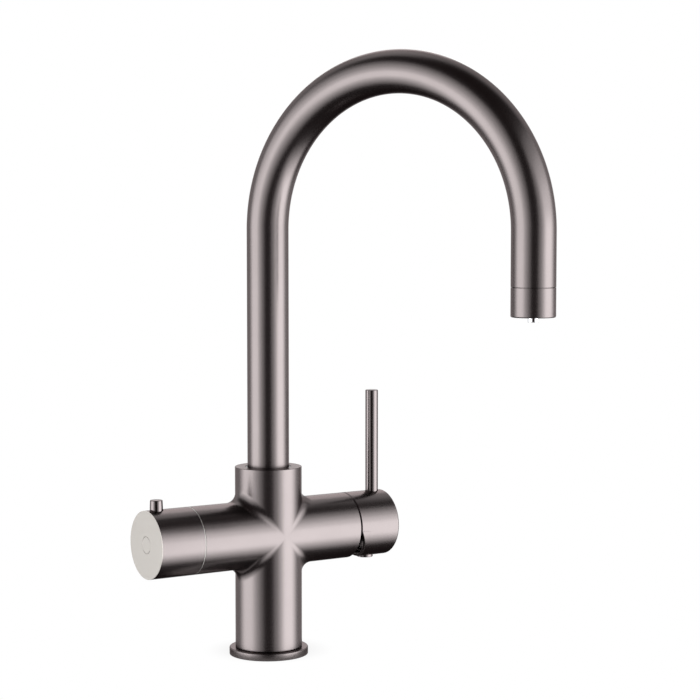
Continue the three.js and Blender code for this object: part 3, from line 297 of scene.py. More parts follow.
def turned(name, corners, place=Matrix(), sides=TUBE_SIDES):
    """A piece turned round its own +Z from a profile that ends on the axis or closes on itself. Its grain
    runs round it: the third coordinate is the way along the profile, on bars and on flat faces alike."""
    profile = rounded(corners)
    closed = profile[0].x > 0
    if closed:
        profile.append(profile[0])
    widest = max(point.x for point in profile)
    travelled = [0.0]
    for before, here in zip(profile, profile[1:]):
        travelled.append(travelled[-1] + (here - before).length)
    vertices, faces, grain = [], [], []
    around = [2 * math.pi * k / sides for k in range(sides + 1)]
    for i in range(len(profile) - 1):
        for k in range(sides):
            corners_here = [(i, around[k]), (i, around[k + 1]), (i + 1, around[k + 1]), (i + 1, around[k])]
            if profile[i].x <= 0:
                corners_here.pop(1)
            elif profile[i + 1].x <= 0:
                corners_here.pop(2)
            if profile[i].x <= 0 and profile[i + 1].x <= 0:
                continue
            faces.append(list(range(len(vertices), len(vertices) + len(corners_here))))
            for step, angle in corners_here:
                reach, height = max(profile[step].x, 0), profile[step].y
                vertices.append(Vector((reach * math.cos(angle), reach * math.sin(angle), height)))
                grain.append((widest * math.cos(angle), widest * math.sin(angle), travelled[step]))
    piece = piece_from(name, vertices, faces, grain)
    piece.data.transform(place)
    return piece


def evaluated(piece):
    """Turns what the piece's modifiers make into its own plain mesh, and removes them."""
    made = bpy.data.meshes.new_from_object(piece.evaluated_get(bpy.context.evaluated_depsgraph_get()))
    old = piece.data
    piece.modifiers.clear()
    piece.data = made
    made.name = piece.name
    bpy.data.meshes.remove(old)
    return piece


def carved(piece, *cutters):
    """Cuts the other pieces out of this one, and removes them."""
    for cutter in cutters:
        cut = piece.modifiers.new("Cut", "BOOLEAN")
        cut.operation = "DIFFERENCE"
        cut.solver = "EXACT"
        cut.object = cutter
    evaluated(piece)
    for cutter in cutters:
        bpy.data.objects.remove(cutter)


def eased(piece, rounding):
    """Rounds the piece's sharp edges."""
    edge = piece.modifiers.new("Eased edges", "BEVEL")
    edge.width = rounding
    edge.segments = 3
    edge.limit_method = "ANGLE"
    edge.angle_limit = EASED_ANGLE
    edge.use_clamp_overlap = False
    evaluated(piece)


def prism(name, outline, start, end, place=Matrix()):
    """A straight prism along +Z from an outline of (x, y) points."""
    count = len(outline)
    vertices = [Vector((x, y, z)) for z in (start, end) for x, y in outline]
    faces = [list(range(count))[::-1], list(range(count, 2 * count))]
    faces += [[i, (i + 1) % count, count + (i + 1) % count, count + i] for i in range(count)]
    piece = piece_from(name, vertices, faces)
    piece.data.transform(place)
    return piece


def bar(name, radius, start, end, place, sides=BAR_SIDES):
    """A plain bar."""
    return turned(name, [(0, start), (radius, start), (radius, end), (0, end)], place, sides)


def dressed(piece, finish, body, *nodes):
    """Finishes a piece: shading, material and slot, the body it rides on and the nodes it stands for."""
    mesh = piece.data
    mesh.materials.clear()
    mesh.materials.append(material_for(finish))
    mesh.polygons.foreach_set("material_index", [0] * len(mesh.polygons))
    mesh.shade_smooth()
    mesh.set_sharp_from_angle(angle=SHARP_ANGLE)
    weighted = piece.modifiers.new("Even shading", "WEIGHTED_NORMAL")
    weighted.keep_sharp = True
    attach(piece, body)
    if nodes:
        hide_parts(*nodes)


def arm_place(side, height):
    """Turns +Z outwards along an arm and +Y up: side is 1 for the lever's arm and -1 for the knob's."""
    outward = Vector((side, 0, 0))
    up = Vector((0, 0, 1))
    across = up.cross(outward)
    turned_frame = Matrix((across, up, outward)).transposed().to_4x4()
    return Matrix.Translation((0, 0, height)) @ turned_frame


def upright(x, height, down=False):
    """Stands a piece on an arm's axis at x, pointing up or down."""
    flip = Matrix.Rotation(math.pi, 4, "X") if down else Matrix()
    return Matrix.Translation((x, 0, height)) @ flip


# ------------------------------------------------------------------ finishes

class Finish(NamedTuple):
    """How a surface is drawn. Its marks vary the roughness and stand a little proud, and the colour goes
    from the first tone to the second with them, or with wider clouds where it has them. Marks and clouds
    are spacings on three axes in millimetres, then the noise's detail."""
    slot: str                      # the record's material slot
    material: str
    tones: tuple                   # a colour of the settings or a hex colour
    marks: tuple
    roughness: tuple
    relief: float                  # the marks' height in millimetres
    constants: dict
    along_grain: bool = False      # on the turned grain, or else on the object's own axes
    clouds: tuple = ()
    tarnished: bool = False        # the clouds vary the roughness too


WHITE = {"Color": linear("#ffffff"), "Strength": 1.0}
METAL = {"Metallic": 1.0}
COATED = {**METAL, "Specular Tint": linear("#bcb6b6")}     # it hardly brightens towards its outline
ACETAL = {"IOR": 1.48}

FINISHES = {
    # Gunmetal PVD on turned brass, brushed round the axis: faint hairlines round each bar, a satin gloss
    # that blurs what it mirrors, and a warm dark grey that drifts a little from place to place. Hairlines
    # 0.05 mm apart on the real one, drawn 0.5 mm apart so that they show.
    "gunmetal": Finish("gunmetal", "brushed_gunmetal_pvd", ("gunmetal", "gunmetal_dark"), (14, 14, 0.5, 3),
                       (0.26, 0.272), 0.0001, COATED, True, (22, 22, 30, 2)),
    # The same coating over a bar polished lengthwise: smooth, with a tighter highlight. Polishing lines
    # 0.02 mm apart on the real one, drawn 1.2 mm apart so that they show.
    "gunmetal_burnished": Finish("gunmetal", "burnished_gunmetal_pvd", ("gunmetal", "gunmetal_dark"),
                                 (1.2, 1.2, 40, 2), (0.18, 0.195), 0.00001, COATED, True),
    # The same coating over a polished peg: a clear dark mirror with the faintest lapping marks
    "gunmetal_polished": Finish("gunmetal", "polished_gunmetal_pvd", ("gunmetal_polished", "gunmetal_dark"),
                                (3, 3, 1, 2), (0.11, 0.14), 0.00005, COATED, True),
    # Stainless steel faced on a lathe: a pale satin plate with the finest rings round its middle. Tool
    # rings 0.06 mm apart on the real one, drawn 0.5 mm apart so that they show.
    "plate": Finish("steel", "faced_stainless_steel", ("plate", "#bfbbb7"), (14, 14, 0.5, 3), (0.3, 0.35),
                    0.0002, METAL, True),
    # Bead-blasted stainless steel: a thin grey washer that stays light where polished metal goes dark
    "steel_blasted": Finish("steel", "bead_blasted_steel", ("steel", "#a5a3a0"), (0.15, 0.15, 0.15, 2),
                            (0.46, 0.54), 0.001, METAL),
    # Chrome plating on a drawn tube: a bright cold mirror, barely hazed
    "chrome": Finish("chrome", "polished_chrome", ("chrome", "#d6d8dc"), (2, 2, 2, 2), (0.04, 0.09), 0.0002,
                     METAL, True),
    # Stainless steel straight off the lathe: close tool rings and a soft grey sheen
    "steel": Finish("steel", "turned_stainless_steel", ("steel", "#9c9b98"), (0.3, 4, 0.3, 2), (0.22, 0.38),
                    0.002, METAL),
    # Leaded brass, machined and left bare: yellow, satin, with tool marks and slight tarnish
    "brass": Finish("brass", "machined_brass", ("brass", "#a9894a"), (2.5, 2.5, 0.25, 2), (0.24, 0.42),
                    0.002, METAL, clouds=(7, 7, 7, 4), tarnished=True),
    # Alumina valve discs, fired and lapped flat: warm white, hard and glossy, with a fine grain
    "ceramic": Finish("ceramic", "lapped_alumina", ("ceramic", "#ddd8cd"), (0.2, 0.2, 0.2, 2), (0.16, 0.26),
                      0.0005, {"IOR": 1.77}),
    # Peroxide-cured EPDM, moulded: matt black with a slightly dusty skin
    "rubber": Finish("rubber", "moulded_epdm_rubber", ("rubber", "#2a2a2b"), (1.2, 1.2, 1.2, 3), (0.62, 0.8),
                     0.01, {"IOR": 1.52}),
    # Injection-moulded acetal: an even satin skin with the faint orange peel of the mould
    **{f"{shade}_plastic": Finish(f"{shade}_plastic", f"moulded_{name}_acetal", (f"{shade}_plastic", second),
                                  (0.5, 0.5, 0.5, 2), (0.36, 0.48), 0.004, ACETAL)
       for shade, name, second in (("black", "black", "#1d1d1e"), ("grey", "grey", "#7f8184"),
                                   ("white", "natural", "#dbdad2"))},
}
made_finishes = {}


def tone(name):
    """A colour of the settings, or a hex colour."""
    return linear(name) if name.startswith("#") else getattr(bpy.context.scene.tap_finishes, name)


def pattern(tree, place, spacing):
    """Noise whose features measure so many millimetres on each axis, with the detail that comes last."""
    *steps, detail = spacing
    scaled = node(tree, "ShaderNodeMapping", {"Vector": place, "Scale": [1 / (step * MM) for step in steps]})
    return node(tree, "ShaderNodeTexNoise", {"Vector": scaled, "Scale": 1.0, "Detail": detail,
                                             "Roughness": 0.55})


def finished(finish):
    """A finish as a material."""
    material = bpy.data.materials.new(finish.material)
    tree = empty_tree(material)
    if finish.along_grain:
        place = node(tree, "ShaderNodeAttribute", attribute_name=GRAIN).outputs["Vector"]
    else:
        place = node(tree, "ShaderNodeTexCoord").outputs["Object"]
    marks = pattern(tree, place, finish.marks)
    clouds = pattern(tree, place, finish.clouds) if finish.clouds else marks
    tint = node(tree, "ShaderNodeMix", {0: clouds, 6: tone(finish.tones[0]), 7: tone(finish.tones[1])},
                data_type="RGBA")
    # the noise stays within about 0.3 to 0.7
    roughness = node(tree, "ShaderNodeMapRange", (clouds if finish.tarnished else marks, 0.3, 0.7,
                                                  *finish.roughness))
    bump = node(tree, "ShaderNodeBump", {"Height": marks, "Distance": finish.relief * MM, "Strength": 1.0})
    shader = node(tree, "ShaderNodeBsdfPrincipled", {
        "Base Color": tint.outputs[2], "Roughness": roughness, "Normal": bump, **finish.constants})
    node(tree, "ShaderNodeOutputMaterial", {"Surface": shader})
    return material


def material_for(name):
    """The material of a finish, made the first time that it is asked for."""
    if name not in made_finishes:
        made_finishes[name] = finished(FINISHES[name])
    return made_finishes[name]


def white_seen(tree, behind):
    """How much of a ray sees plain white: all of a camera ray, and of a glossy or transmission ray the part
    that meets the backdrop, so that metal mirrors the white behind it and the dark room before it."""
    ray = node(tree, "ShaderNodeLightPath").outputs
    mirrored = node(tree, "ShaderNodeMath", (ray["Is Glossy Ray"], ray["Is Transmission Ray"]),
                    operation="MAXIMUM")
    mirrored = node(tree, "ShaderNodeMath", (mirrored, behind), operation="MULTIPLY")
    return node(tree, "ShaderNodeMath", (ray["Is Camera Ray"], mirrored), operation="MAXIMUM")


def studio_floor(settings, behind):
    """Matt painted plinth: pale, grainless from a step away, a little grey round the tap's foot as a painted
    soft shadow over the real one, and melting into the white room at its rim.
    """
    material = bpy.data.materials.new("matt_painted_plinth")
    tree = empty_tree(material)
    rim = settings.floor_radius
    place = node(tree, "ShaderNodeTexCoord").outputs["Object"]
    roller = pattern(tree, place, (3, 3, 3, 2))
    tint = node(tree, "ShaderNodeMix", {0: roller, 6: tone("floor"), 7: tone("#efeeec")}, data_type="RGBA")
    board = node(tree, "ShaderNodeBsdfDiffuse", {"Color": tint.outputs[2], "Roughness": 0.6})
    white = node(tree, "ShaderNodeEmission", WHITE)

    # in metal it is white round the tap's foot and behind the tap, and a board between and before them
    depth = node(tree, "ShaderNodeVectorMath", (place, behind), operation="DOT_PRODUCT").outputs["Value"]
    far = node(tree, "ShaderNodeMapRange", (depth, 0.02, 0.1, 0, 1), **SMOOTH)
    from_tap = node(tree, "ShaderNodeVectorMath", (place,), operation="LENGTH").outputs["Value"]
    near = node(tree, "ShaderNodeMapRange", (from_tap, 0.45 * rim, 0.7 * rim, 0.9, 0.15), **SMOOTH)
    seen = white_seen(tree, node(tree, "ShaderNodeMath", (near, far), operation="MAXIMUM"))
    # its outer half goes over into the white room. Nearer the tap it keeps some of the board, which shows
    # the real shadow and also leaves a grey halo round the tap's foot, a painted soft shadow
    distance = node(tree, "ShaderNodeVectorMath", (place, behind * settings.floor_shift),
                    operation="DISTANCE").outputs["Value"]
    fade = node(tree, "ShaderNodeMapRange", (distance, 0.4 * rim, 0.97 * rim, 0.85, 1), **SMOOTH)
    share = node(tree, "ShaderNodeMath", (fade, seen), operation="MULTIPLY")
    mixed = node(tree, "ShaderNodeMixShader", (share, board, white))
    node(tree, "ShaderNodeOutputMaterial", {"Surface": mixed})
    return material


# ------------------------------------------------------------------ geometry node trees

def new_tree(name, inputs):
    """A geometry tree with a geometry output and named inputs with these defaults."""
    tree = bpy.data.node_groups.new(name, "GeometryNodeTree")
    tree.interface.new_socket("Geometry", in_out="OUTPUT", socket_type="NodeSocketGeometry")
    for label, default in inputs.items():
        kind = "NodeSocketInt" if isinstance(default, int) else "NodeSocketFloat"
        tree.interface.new_socket(label, in_out="INPUT", socket_type=kind).default_value = default
    return tree, node(tree, "NodeGroupInput").outputs


def close_tree(tree, geometry, finish):
    """Ends a tree in plain geometry that carries its material."""
    real = node(tree, "GeometryNodeRealizeInstances", (geometry,))
    painted = node(tree, "GeometryNodeSetMaterial", {"Geometry": real, "Material": material_for(finish)})
    node(tree, "NodeGroupOutput", {"Geometry": painted})
    return tree


def grown(name, tree, values):
    """A plain piece made by a geometry tree with these values for its inputs."""
    piece = placed(name, bpy.data.meshes.new(name))
    modifier = piece.modifiers.new("Shape", "NODES")
    modifier.node_group = tree
    sockets = {item.name: item.identifier for item in tree.interface.items_tree if item.in_out == "INPUT"}
    for label, value in values.items():
        modifier[sockets[label]] = value
    return evaluated(piece)


def swan_neck_tree():
    """A tube that rises, turns through a half circle and comes down again, in the XZ plane."""
    tree, given = new_tree("Swan neck", {
        "Tube radius": 0.014, "Arch radius": 0.1, "Spring height": 0.28, "Foot height": 0.1,
        "Tip height": 0.25, "Arch steps": 144, "Sides": 96})
    # one point at the foot, the arch's points from one spring to the other, and one point at the tip
    count = node(tree, "ShaderNodeMath", (given["Arch steps"], 3), operation="ADD")
    straight = node(tree, "GeometryNodeCurvePrimitiveLine", {"End": (0, 0, 1)}, mode="POINTS")
    path = node(tree, "GeometryNodeResampleCurve", {"Curve": straight, "Count": count}, mode="COUNT")
    index = node(tree, "GeometryNodeInputIndex")
    step = node(tree, "ShaderNodeMath", (index, 1), operation="SUBTRACT")
    share = node(tree, "ShaderNodeMath", (step, given["Arch steps"]), operation="DIVIDE", use_clamp=True)
    angle = node(tree, "ShaderNodeMath", (share, math.pi), operation="MULTIPLY")
    cosine = node(tree, "ShaderNodeMath", (angle,), operation="COSINE")
    drop = node(tree, "ShaderNodeMath", (1, cosine), operation="SUBTRACT")
    across = node(tree, "ShaderNodeMath", (drop, given["Arch radius"]), operation="MULTIPLY")
    sine = node(tree, "ShaderNodeMath", (angle,), operation="SINE")
    rise = node(tree, "ShaderNodeMath", (sine, given["Arch radius"]), operation="MULTIPLY")
    height = node(tree, "ShaderNodeMath", (rise, given["Spring height"]), operation="ADD")
    last = node(tree, "ShaderNodeMath", (count, 1), operation="SUBTRACT")
    for at, end in ((0, given["Foot height"]), (last, given["Tip height"])):
        there = node(tree, "FunctionNodeCompare", {2: index, 3: at}, data_type="INT", operation="EQUAL")
        height = node(tree, "GeometryNodeSwitch", {"Switch": there, "False": height, "True": end},
                      input_type="FLOAT")
    place = node(tree, "ShaderNodeCombineXYZ", {0: across, 2: height})
    bent = node(tree, "GeometryNodeSetPosition", {"Geometry": path, "Position": place})

    # the grain is the place round the section, lifted by the way along the path
    along = node(tree, "GeometryNodeSplineParameter").outputs["Length"]
    marked = node(tree, "GeometryNodeStoreNamedAttribute", {
        "Geometry": bent, "Name": "along", "Value": along}, data_type="FLOAT", domain="POINT")
    section = node(tree, "GeometryNodeCurvePrimitiveCircle", {
        "Resolution": given["Sides"], "Radius": given["Tube radius"]}, mode="RADIUS")
    marked_section = node(tree, "GeometryNodeStoreNamedAttribute", {
        "Geometry": section, "Name": "round", "Value": node(tree, "GeometryNodeInputPosition")},
        data_type="FLOAT_VECTOR", domain="POINT")
    tube = node(tree, "GeometryNodeCurveToMesh", {
        "Curve": marked, "Profile Curve": marked_section, "Fill Caps": False})
    read_along = node(tree, "GeometryNodeInputNamedAttribute", {"Name": "along"}, data_type="FLOAT")
    read_round = node(tree, "GeometryNodeInputNamedAttribute", {"Name": "round"}, data_type="FLOAT_VECTOR")
    lifted = node(tree, "ShaderNodeCombineXYZ", {2: read_along})
    grain = node(tree, "ShaderNodeVectorMath", (read_round, lifted), operation="ADD")
    with_grain = node(tree, "GeometryNodeStoreNamedAttribute", {
        "Geometry": tube, "Name": GRAIN, "Value": grain}, data_type="FLOAT_VECTOR", domain="CORNER")
    return close_tree(tree, with_grain, "gunmetal")


def aerator_tree():
    """A round insert with a bore in the middle and a ring of jets round it, standing on z = 0."""
    tree, given = new_tree("Aerator", {
        "Radius": 0.011, "Bore": 0.004, "Thickness": 0.007, "Jets": 12, "Jet radius": 0.0013})
    plug = node(tree, "GeometryNodeMeshCylinder", {
        "Vertices": 96, "Radius": given["Radius"], "Depth": given["Thickness"]})
    deep = node(tree, "ShaderNodeMath", (given["Thickness"], 2), operation="MULTIPLY")
    middle_drill = node(tree, "GeometryNodeMeshCylinder", {
        "Vertices": 48, "Radius": given["Bore"], "Depth": deep})
    jet_drill = node(tree, "GeometryNodeMeshCylinder", {
        "Vertices": 24, "Radius": given["Jet radius"], "Depth": deep})
    across = node(tree, "ShaderNodeMath", (given["Radius"], given["Bore"]), operation="ADD")
    jet_circle = node(tree, "ShaderNodeMath", (across, 0.5), operation="MULTIPLY")
    circle = node(tree, "GeometryNodeMeshCircle", {"Vertices": given["Jets"], "Radius": jet_circle})
    jets = node(tree, "GeometryNodeInstanceOnPoints", {"Points": circle, "Instance": jet_drill})
    drilled = plug
    for drill in (middle_drill, node(tree, "GeometryNodeRealizeInstances", (jets,))):
        drilled = node(tree, "GeometryNodeMeshBoolean", {"Mesh 1": drilled, "Mesh 2": drill},
                       operation="DIFFERENCE", solver="EXACT")
    half = node(tree, "ShaderNodeMath", (given["Thickness"], 0.5), operation="MULTIPLY")
    lift = node(tree, "ShaderNodeCombineXYZ", {2: half})
    stood = node(tree, "GeometryNodeTransform", {"Geometry": drilled, "Translation": lift})
    return close_tree(tree, stood, "grey_plastic")


def spring_tree():
    """A round wire wound into a coil that stands on z = 0."""
    tree, given = new_tree("Coil spring", {
        "Coil radius": 0.003, "Wire radius": 0.0003, "Height": 0.004, "Turns": 3.0})
    thick = node(tree, "ShaderNodeMath", (given["Wire radius"], 2), operation="MULTIPLY")
    rise = node(tree, "ShaderNodeMath", (given["Height"], thick), operation="SUBTRACT")
    coil = node(tree, "GeometryNodeCurveSpiral", {
        "Resolution": 32, "Rotations": given["Turns"], "Start Radius": given["Coil radius"],
        "End Radius": given["Coil radius"], "Height": rise})
    section = node(tree, "GeometryNodeCurvePrimitiveCircle", {
        "Resolution": 12, "Radius": given["Wire radius"]}, mode="RADIUS")
    wire = node(tree, "GeometryNodeCurveToMesh", {
        "Curve": coil, "Profile Curve": section, "Fill Caps": True})
    lift = node(tree, "ShaderNodeCombineXYZ", {2: given["Wire radius"]})
    stood = node(tree, "GeometryNodeTransform", {"Geometry": wire, "Translation": lift})
    return close_tree(tree, stood, "steel")


# ------------------------------------------------------------------ the body

def cross_body_mesh(size):
    """Two bars of one radius crossed square and blended by a rolling ball, with a blind bore in each of the
    four ends. A row of points runs from the floor of an upright bore to the floor of an arm's bore; the
    angle goes from the front pole to the back one."""
    half_turn, blend_steps, edge_steps = 96, 14, 4
    lead = 1.2 * MM                      # short faces beside a blend keep the long ones evenly shaded
    rolling = size.radius + size.fillet

    def end_profile(reach, bore, floor, edge):
        """One end's section as (radius, height), from its bore's floor out and round to its side."""
        corners = [(0, floor), (bore, floor), (bore, reach, edge / 2),
                   (size.radius, reach, edge), (size.radius, floor)]
        return rounded(corners, edge_steps)[:-1]

    rise, drop = size.collar_top - size.arm_height, size.arm_height - size.foot
    upright_ends = {
        1: end_profile(rise, size.socket_radius, rise - size.socket_depth, size.edge),
        -1: end_profile(drop, size.foot_bore, size.arm_height - size.foot_depth, size.foot_edge),
    }
    arm_end = end_profile(size.arm_reach, size.pocket_radius, size.arm_reach - size.pocket_depth,
                          size.arm_edge)

    def row(angle, side_sign, up_sign):
        """The points of a row, and the number of the one where the arm's grain begins."""
        side, front = math.sin(angle), -math.cos(angle)
        centre = Vector((rolling * side, rolling * front, rolling * side))
        first = Vector((-side, -front, 0)) * size.fillet
        last = Vector((0, -front, -side)) * size.fillet
        blend = []
        for k in range(blend_steps + 1):
            reach_out = first.lerp(last, k / blend_steps).normalized() * size.fillet
            blend.append(centre + reach_out)
        before = [Vector((r * side, r * front, h)) for r, h in upright_ends[up_sign]]
        before.append(Vector((size.radius * side, size.radius * front, blend[0].z + lead)))
        after = [Vector((h, r * front, r * side)) for r, h in arm_end]
        after.append(Vector((blend[-1].x + lead, size.radius * front, size.radius * side)))
        points = before + blend + after[::-1]
        signs = Vector((side_sign, 1, up_sign))
        return [p * signs for p in points], len(before) + blend_steps // 2

    vertices, faces, grain = [], [], []
    for side_sign, up_sign in ((1, 1), (-1, 1), (1, -1), (-1, -1)):
        rows = [row(math.pi * i / half_turn, side_sign, up_sign) for i in range(half_turn + 1)]
        for (near, _), (far, crease) in zip(rows, rows[1:]):
            for j in range(len(near) - 1):
                corners = [near[j], near[j + 1], far[j + 1], far[j]]
                if side_sign * up_sign < 0:
                    corners.reverse()
                start = len(vertices)
                vertices.extend(p + Vector((0, 0, size.arm_height)) for p in corners)
                faces.append([start, start + 1, start + 2, start + 3])
                upright_bar = j < crease
                grain.extend((p.x, p.y, p.z) if upright_bar else (p.y, p.z, p.x) for p in corners)
    return vertices, faces, grain


class TAP_OT_body(bpy.types.Operator):
    """Makes the cross body and the ring that it stands on"""
    bl_idname = "tap.body"
    bl_label = "Body"

    def execute(self, context):
        size = context.scene.tap_body
        casting = piece_from("body_casting", *cross_body_mesh(size))
        screw_place = Matrix.Translation((0, size.radius / 2, middle("spout_grub_screw", Z)))
        backwards = Matrix.Rotation(-math.pi / 2, 4, "X")
        carved(casting, bar("screw_hole", width("spout_grub_screw", X) / 2 + FIT, 0, size.radius,
                            screw_place @ backwards, HOLE_SIDES))
        dressed(casting, "gunmetal", "tap_body", "cross_body")

        groove_inner, groove_outer = 20.75 * MM, 24.35 * MM
        ring = turned("deck_ring", [
            (size.ring_bore, 0, 0.2 * MM), (groove_inner, 0), (groove_inner, size.gasket_groove),
            (groove_outer, size.gasket_groove), (groove_outer, 0), (size.ring_radius, 0, 0.3 * MM),
            (size.ring_radius, size.ring_height, size.ring_edge),
            (size.ring_bore, size.ring_height, 0.2 * MM),
        ], sides=BODY_SIDES)
        dressed(ring, "gunmetal", "tap_body", "base_ring")

        bush_inner = 14.15 * MM
        bush_outer = width("upper_swivel_bush", X) / 2
        foot, top = low("upper_swivel_bush", Z), high("upper_swivel_bush", Z)
        bush = turned("collar_bush", [
            (bush_inner, foot), (bush_outer, foot), (bush_outer, top, 0.2 * MM),
            (bush_inner, top, 0.2 * MM),
        ])
        dressed(bush, "black_plastic", "tap_body", "upper_swivel_bush")
        return {"FINISHED"}


# ------------------------------------------------------------------ the spout

class TAP_OT_spout(bpy.types.Operator):
    """Makes the swan neck, its nozzle, the aerator and the boiling outlet"""
    bl_idname = "tap.spout"
    bl_label = "Spout"

    def execute(self, context):
        size = context.scene.tap_spout
        swing = Matrix.Rotation(size.swing - math.pi / 2, 4, "Z")
        tip = swing @ Matrix.Translation((2 * size.arch_radius, 0, 0))

        neck = grown("swan_neck", swan_neck_tree(), {
            "Tube radius": size.tube_radius, "Arch radius": size.arch_radius,
            "Spring height": size.spring_height, "Foot height": size.bottom,
            "Tip height": size.nozzle_top, "Arch steps": size.arch_steps, "Sides": TUBE_SIDES,
        })
        neck.data.transform(swing)
        wall = neck.modifiers.new("Wall", "SOLIDIFY")
        wall.thickness = size.wall
        wall.offset = -1
        evaluated(neck)
        eased(neck, 0.15 * MM)
        dressed(neck, "gunmetal", "spout", "spout_tube")

        rim = size.nozzle_bottom
        joint = size.nozzle_top - LOOSE_FIT
        bore = size.tube_radius - size.nozzle_wall
        spigot, spigot_wall = 11.9 * MM, 2 * MM
        spigot_bore = spigot - spigot_wall
        spigot_top = high("nozzle_ring", Z)
        shelf = high("aerator_insert", Z) + LOOSE_FIT
        nozzle = turned("nozzle_sleeve", [
            (bore, rim, 0.25 * MM), (size.tube_radius, rim, size.nozzle_edge),
            (size.tube_radius, joint, 0.15 * MM), (spigot, joint), (spigot, spigot_top),
            (spigot_bore, spigot_top), (spigot_bore, shelf), (bore, shelf),
        ], tip)
        dressed(nozzle, "gunmetal", "spout", "nozzle_ring")

        aerator = grown("aerator_face", aerator_tree(), {
            "Radius": bore - LOOSE_FIT, "Bore": size.outlet_radius + LOOSE_FIT,
            "Thickness": width("aerator_insert", Z), "Jets": size.aerator_holes,
            "Jet radius": size.aerator_hole,
        })
        aerator.data.transform(tip @ Matrix.Translation((0, 0, low("aerator_insert", Z))))
        dressed(aerator, "grey_plastic", "spout", "aerator_insert")

        foot, top = low("boiling_outlet", Z), high("boiling_outlet", Z)
        outlet = turned("outlet_tube", [
            (size.outlet_bore, foot, 0.3 * MM), (size.outlet_radius, foot, 0.3 * MM),
            (size.outlet_radius, top, 0.2 * MM), (size.outlet_bore, top),
        ], tip, BAR_SIDES)
        dressed(outlet, "chrome", "spout", "boiling_outlet")
        return {"FINISHED"}


# ------------------------------------------------------------------ the mixer lever

def bow(radius, middle_height, start, end, steps=14):
    """An arc of a profile round a point on the axis, from one angle to another."""
    angles = [start + (end - start) * i / steps for i in range(steps + 1)]
    return [(radius * math.cos(angle), middle_height + radius * math.sin(angle)) for angle in angles]


class TAP_OT_mixer(bpy.types.Operator):
    """Makes the lever hub, its lever, the cover plug and the dome behind the hub"""
    bl_idname = "tap.mixer"
    bl_label = "Mixer lever"

    def execute(self, context):
        size = context.scene.tap_controls
        radius = context.scene.tap_body.radius
        axis_height = context.scene.tap_body.arm_height
        outwards = arm_place(1, axis_height)
        above = upright(middle("lever_rod", X), axis_height)
        below = upright(middle("hub_plug", X), axis_height, down=True)
        start = size.cap_start
        cavity_radius = radius - size.hub_wall
        cavity_floor = start + size.hub_cavity

        # the ring half a radius along keeps the faces beside the rounded cut short and evenly shaded
        hub = turned("lever_hub_turning", [
            (0, cavity_floor), (cavity_radius, cavity_floor, 0.8 * MM), (cavity_radius, start, 0.15 * MM),
            (radius - 0.6 * size.hub_lead, start), (radius, start + size.hub_lead, 0.15 * MM),
            (radius, start + radius / 2), (radius, size.hub_end, size.hub_edge), (0, size.hub_end),
        ], outwards, BODY_SIDES)
        depth = radius + OVERRUN
        slope = depth * math.tan(size.wedge)
        relief = prism("relief", [
            (start - OVERRUN, 0), (start, 0), (start + slope, -depth), (start - OVERRUN, -depth),
        ], -depth, depth, upright(0, axis_height) @ Matrix.Rotation(math.pi / 2, 4, "X"))
        carved(hub, relief)
        eased(hub, size.hub_ease)
        lever_fit, lever_seat, plug_seat = 0.12 * MM, 4 * MM, 1.2 * MM
        screw_radius, screw_top = 2.15 * MM, 4 * MM
        carved(hub, bar("lever_hole", size.lever_radius + lever_fit, radius - lever_seat, depth, above),
               bar("plug_seat", size.plug_radius + FIT, radius - plug_seat, depth, below),
               bar("screw_hole", screw_radius, screw_top, radius, below, HOLE_SIDES))
        dressed(hub, "gunmetal", "mixer_lever", "lever_hub")

        foot, top = low("lever_rod", Z) - axis_height, high("lever_rod", Z) - axis_height
        lever = turned("lever_bar", [
            (0, foot), (size.lever_radius, foot), (size.lever_radius, top, 0.5 * MM), (0, top),
        ], above, BAR_SIDES)
        dressed(lever, "gunmetal_burnished", "mixer_lever", "lever_rod")

        plug_start = axis_height - high("hub_plug", Z)
        plug_end = axis_height - low("hub_plug", Z)
        plug = turned("hub_cover_plug", [
            (size.plug_hole, plug_start), (size.plug_radius, plug_start),
            (size.plug_radius, plug_end, 0.4 * MM), (size.plug_hole, plug_end, 0.2 * MM),
        ], below, BAR_SIDES)
        dressed(plug, "gunmetal", "mixer_lever", "hub_plug")

        # a spherical shell round the tilt axis, open at the hub's end
        dome_wall, mouth = 1.2 * MM, 13 * MM
        rise = start - size.pivot
        sphere = math.hypot(width("cartridge_dome", Y) / 2, rise)
        inner_sphere = sphere - dome_wall
        outside = bow(sphere, size.pivot, math.asin(rise / sphere), math.acos(mouth / sphere))
        inside = bow(inner_sphere, size.pivot, math.acos(mouth / inner_sphere),
                     math.asin(rise / inner_sphere))
        dome = turned("cartridge_cover", outside + inside, outwards, PEG_SIDES)
        dressed(dome, "black_plastic", "tap_body", "cartridge_dome")
        return {"FINISHED"}


# ------------------------------------------------------------------ the boiling-water knob

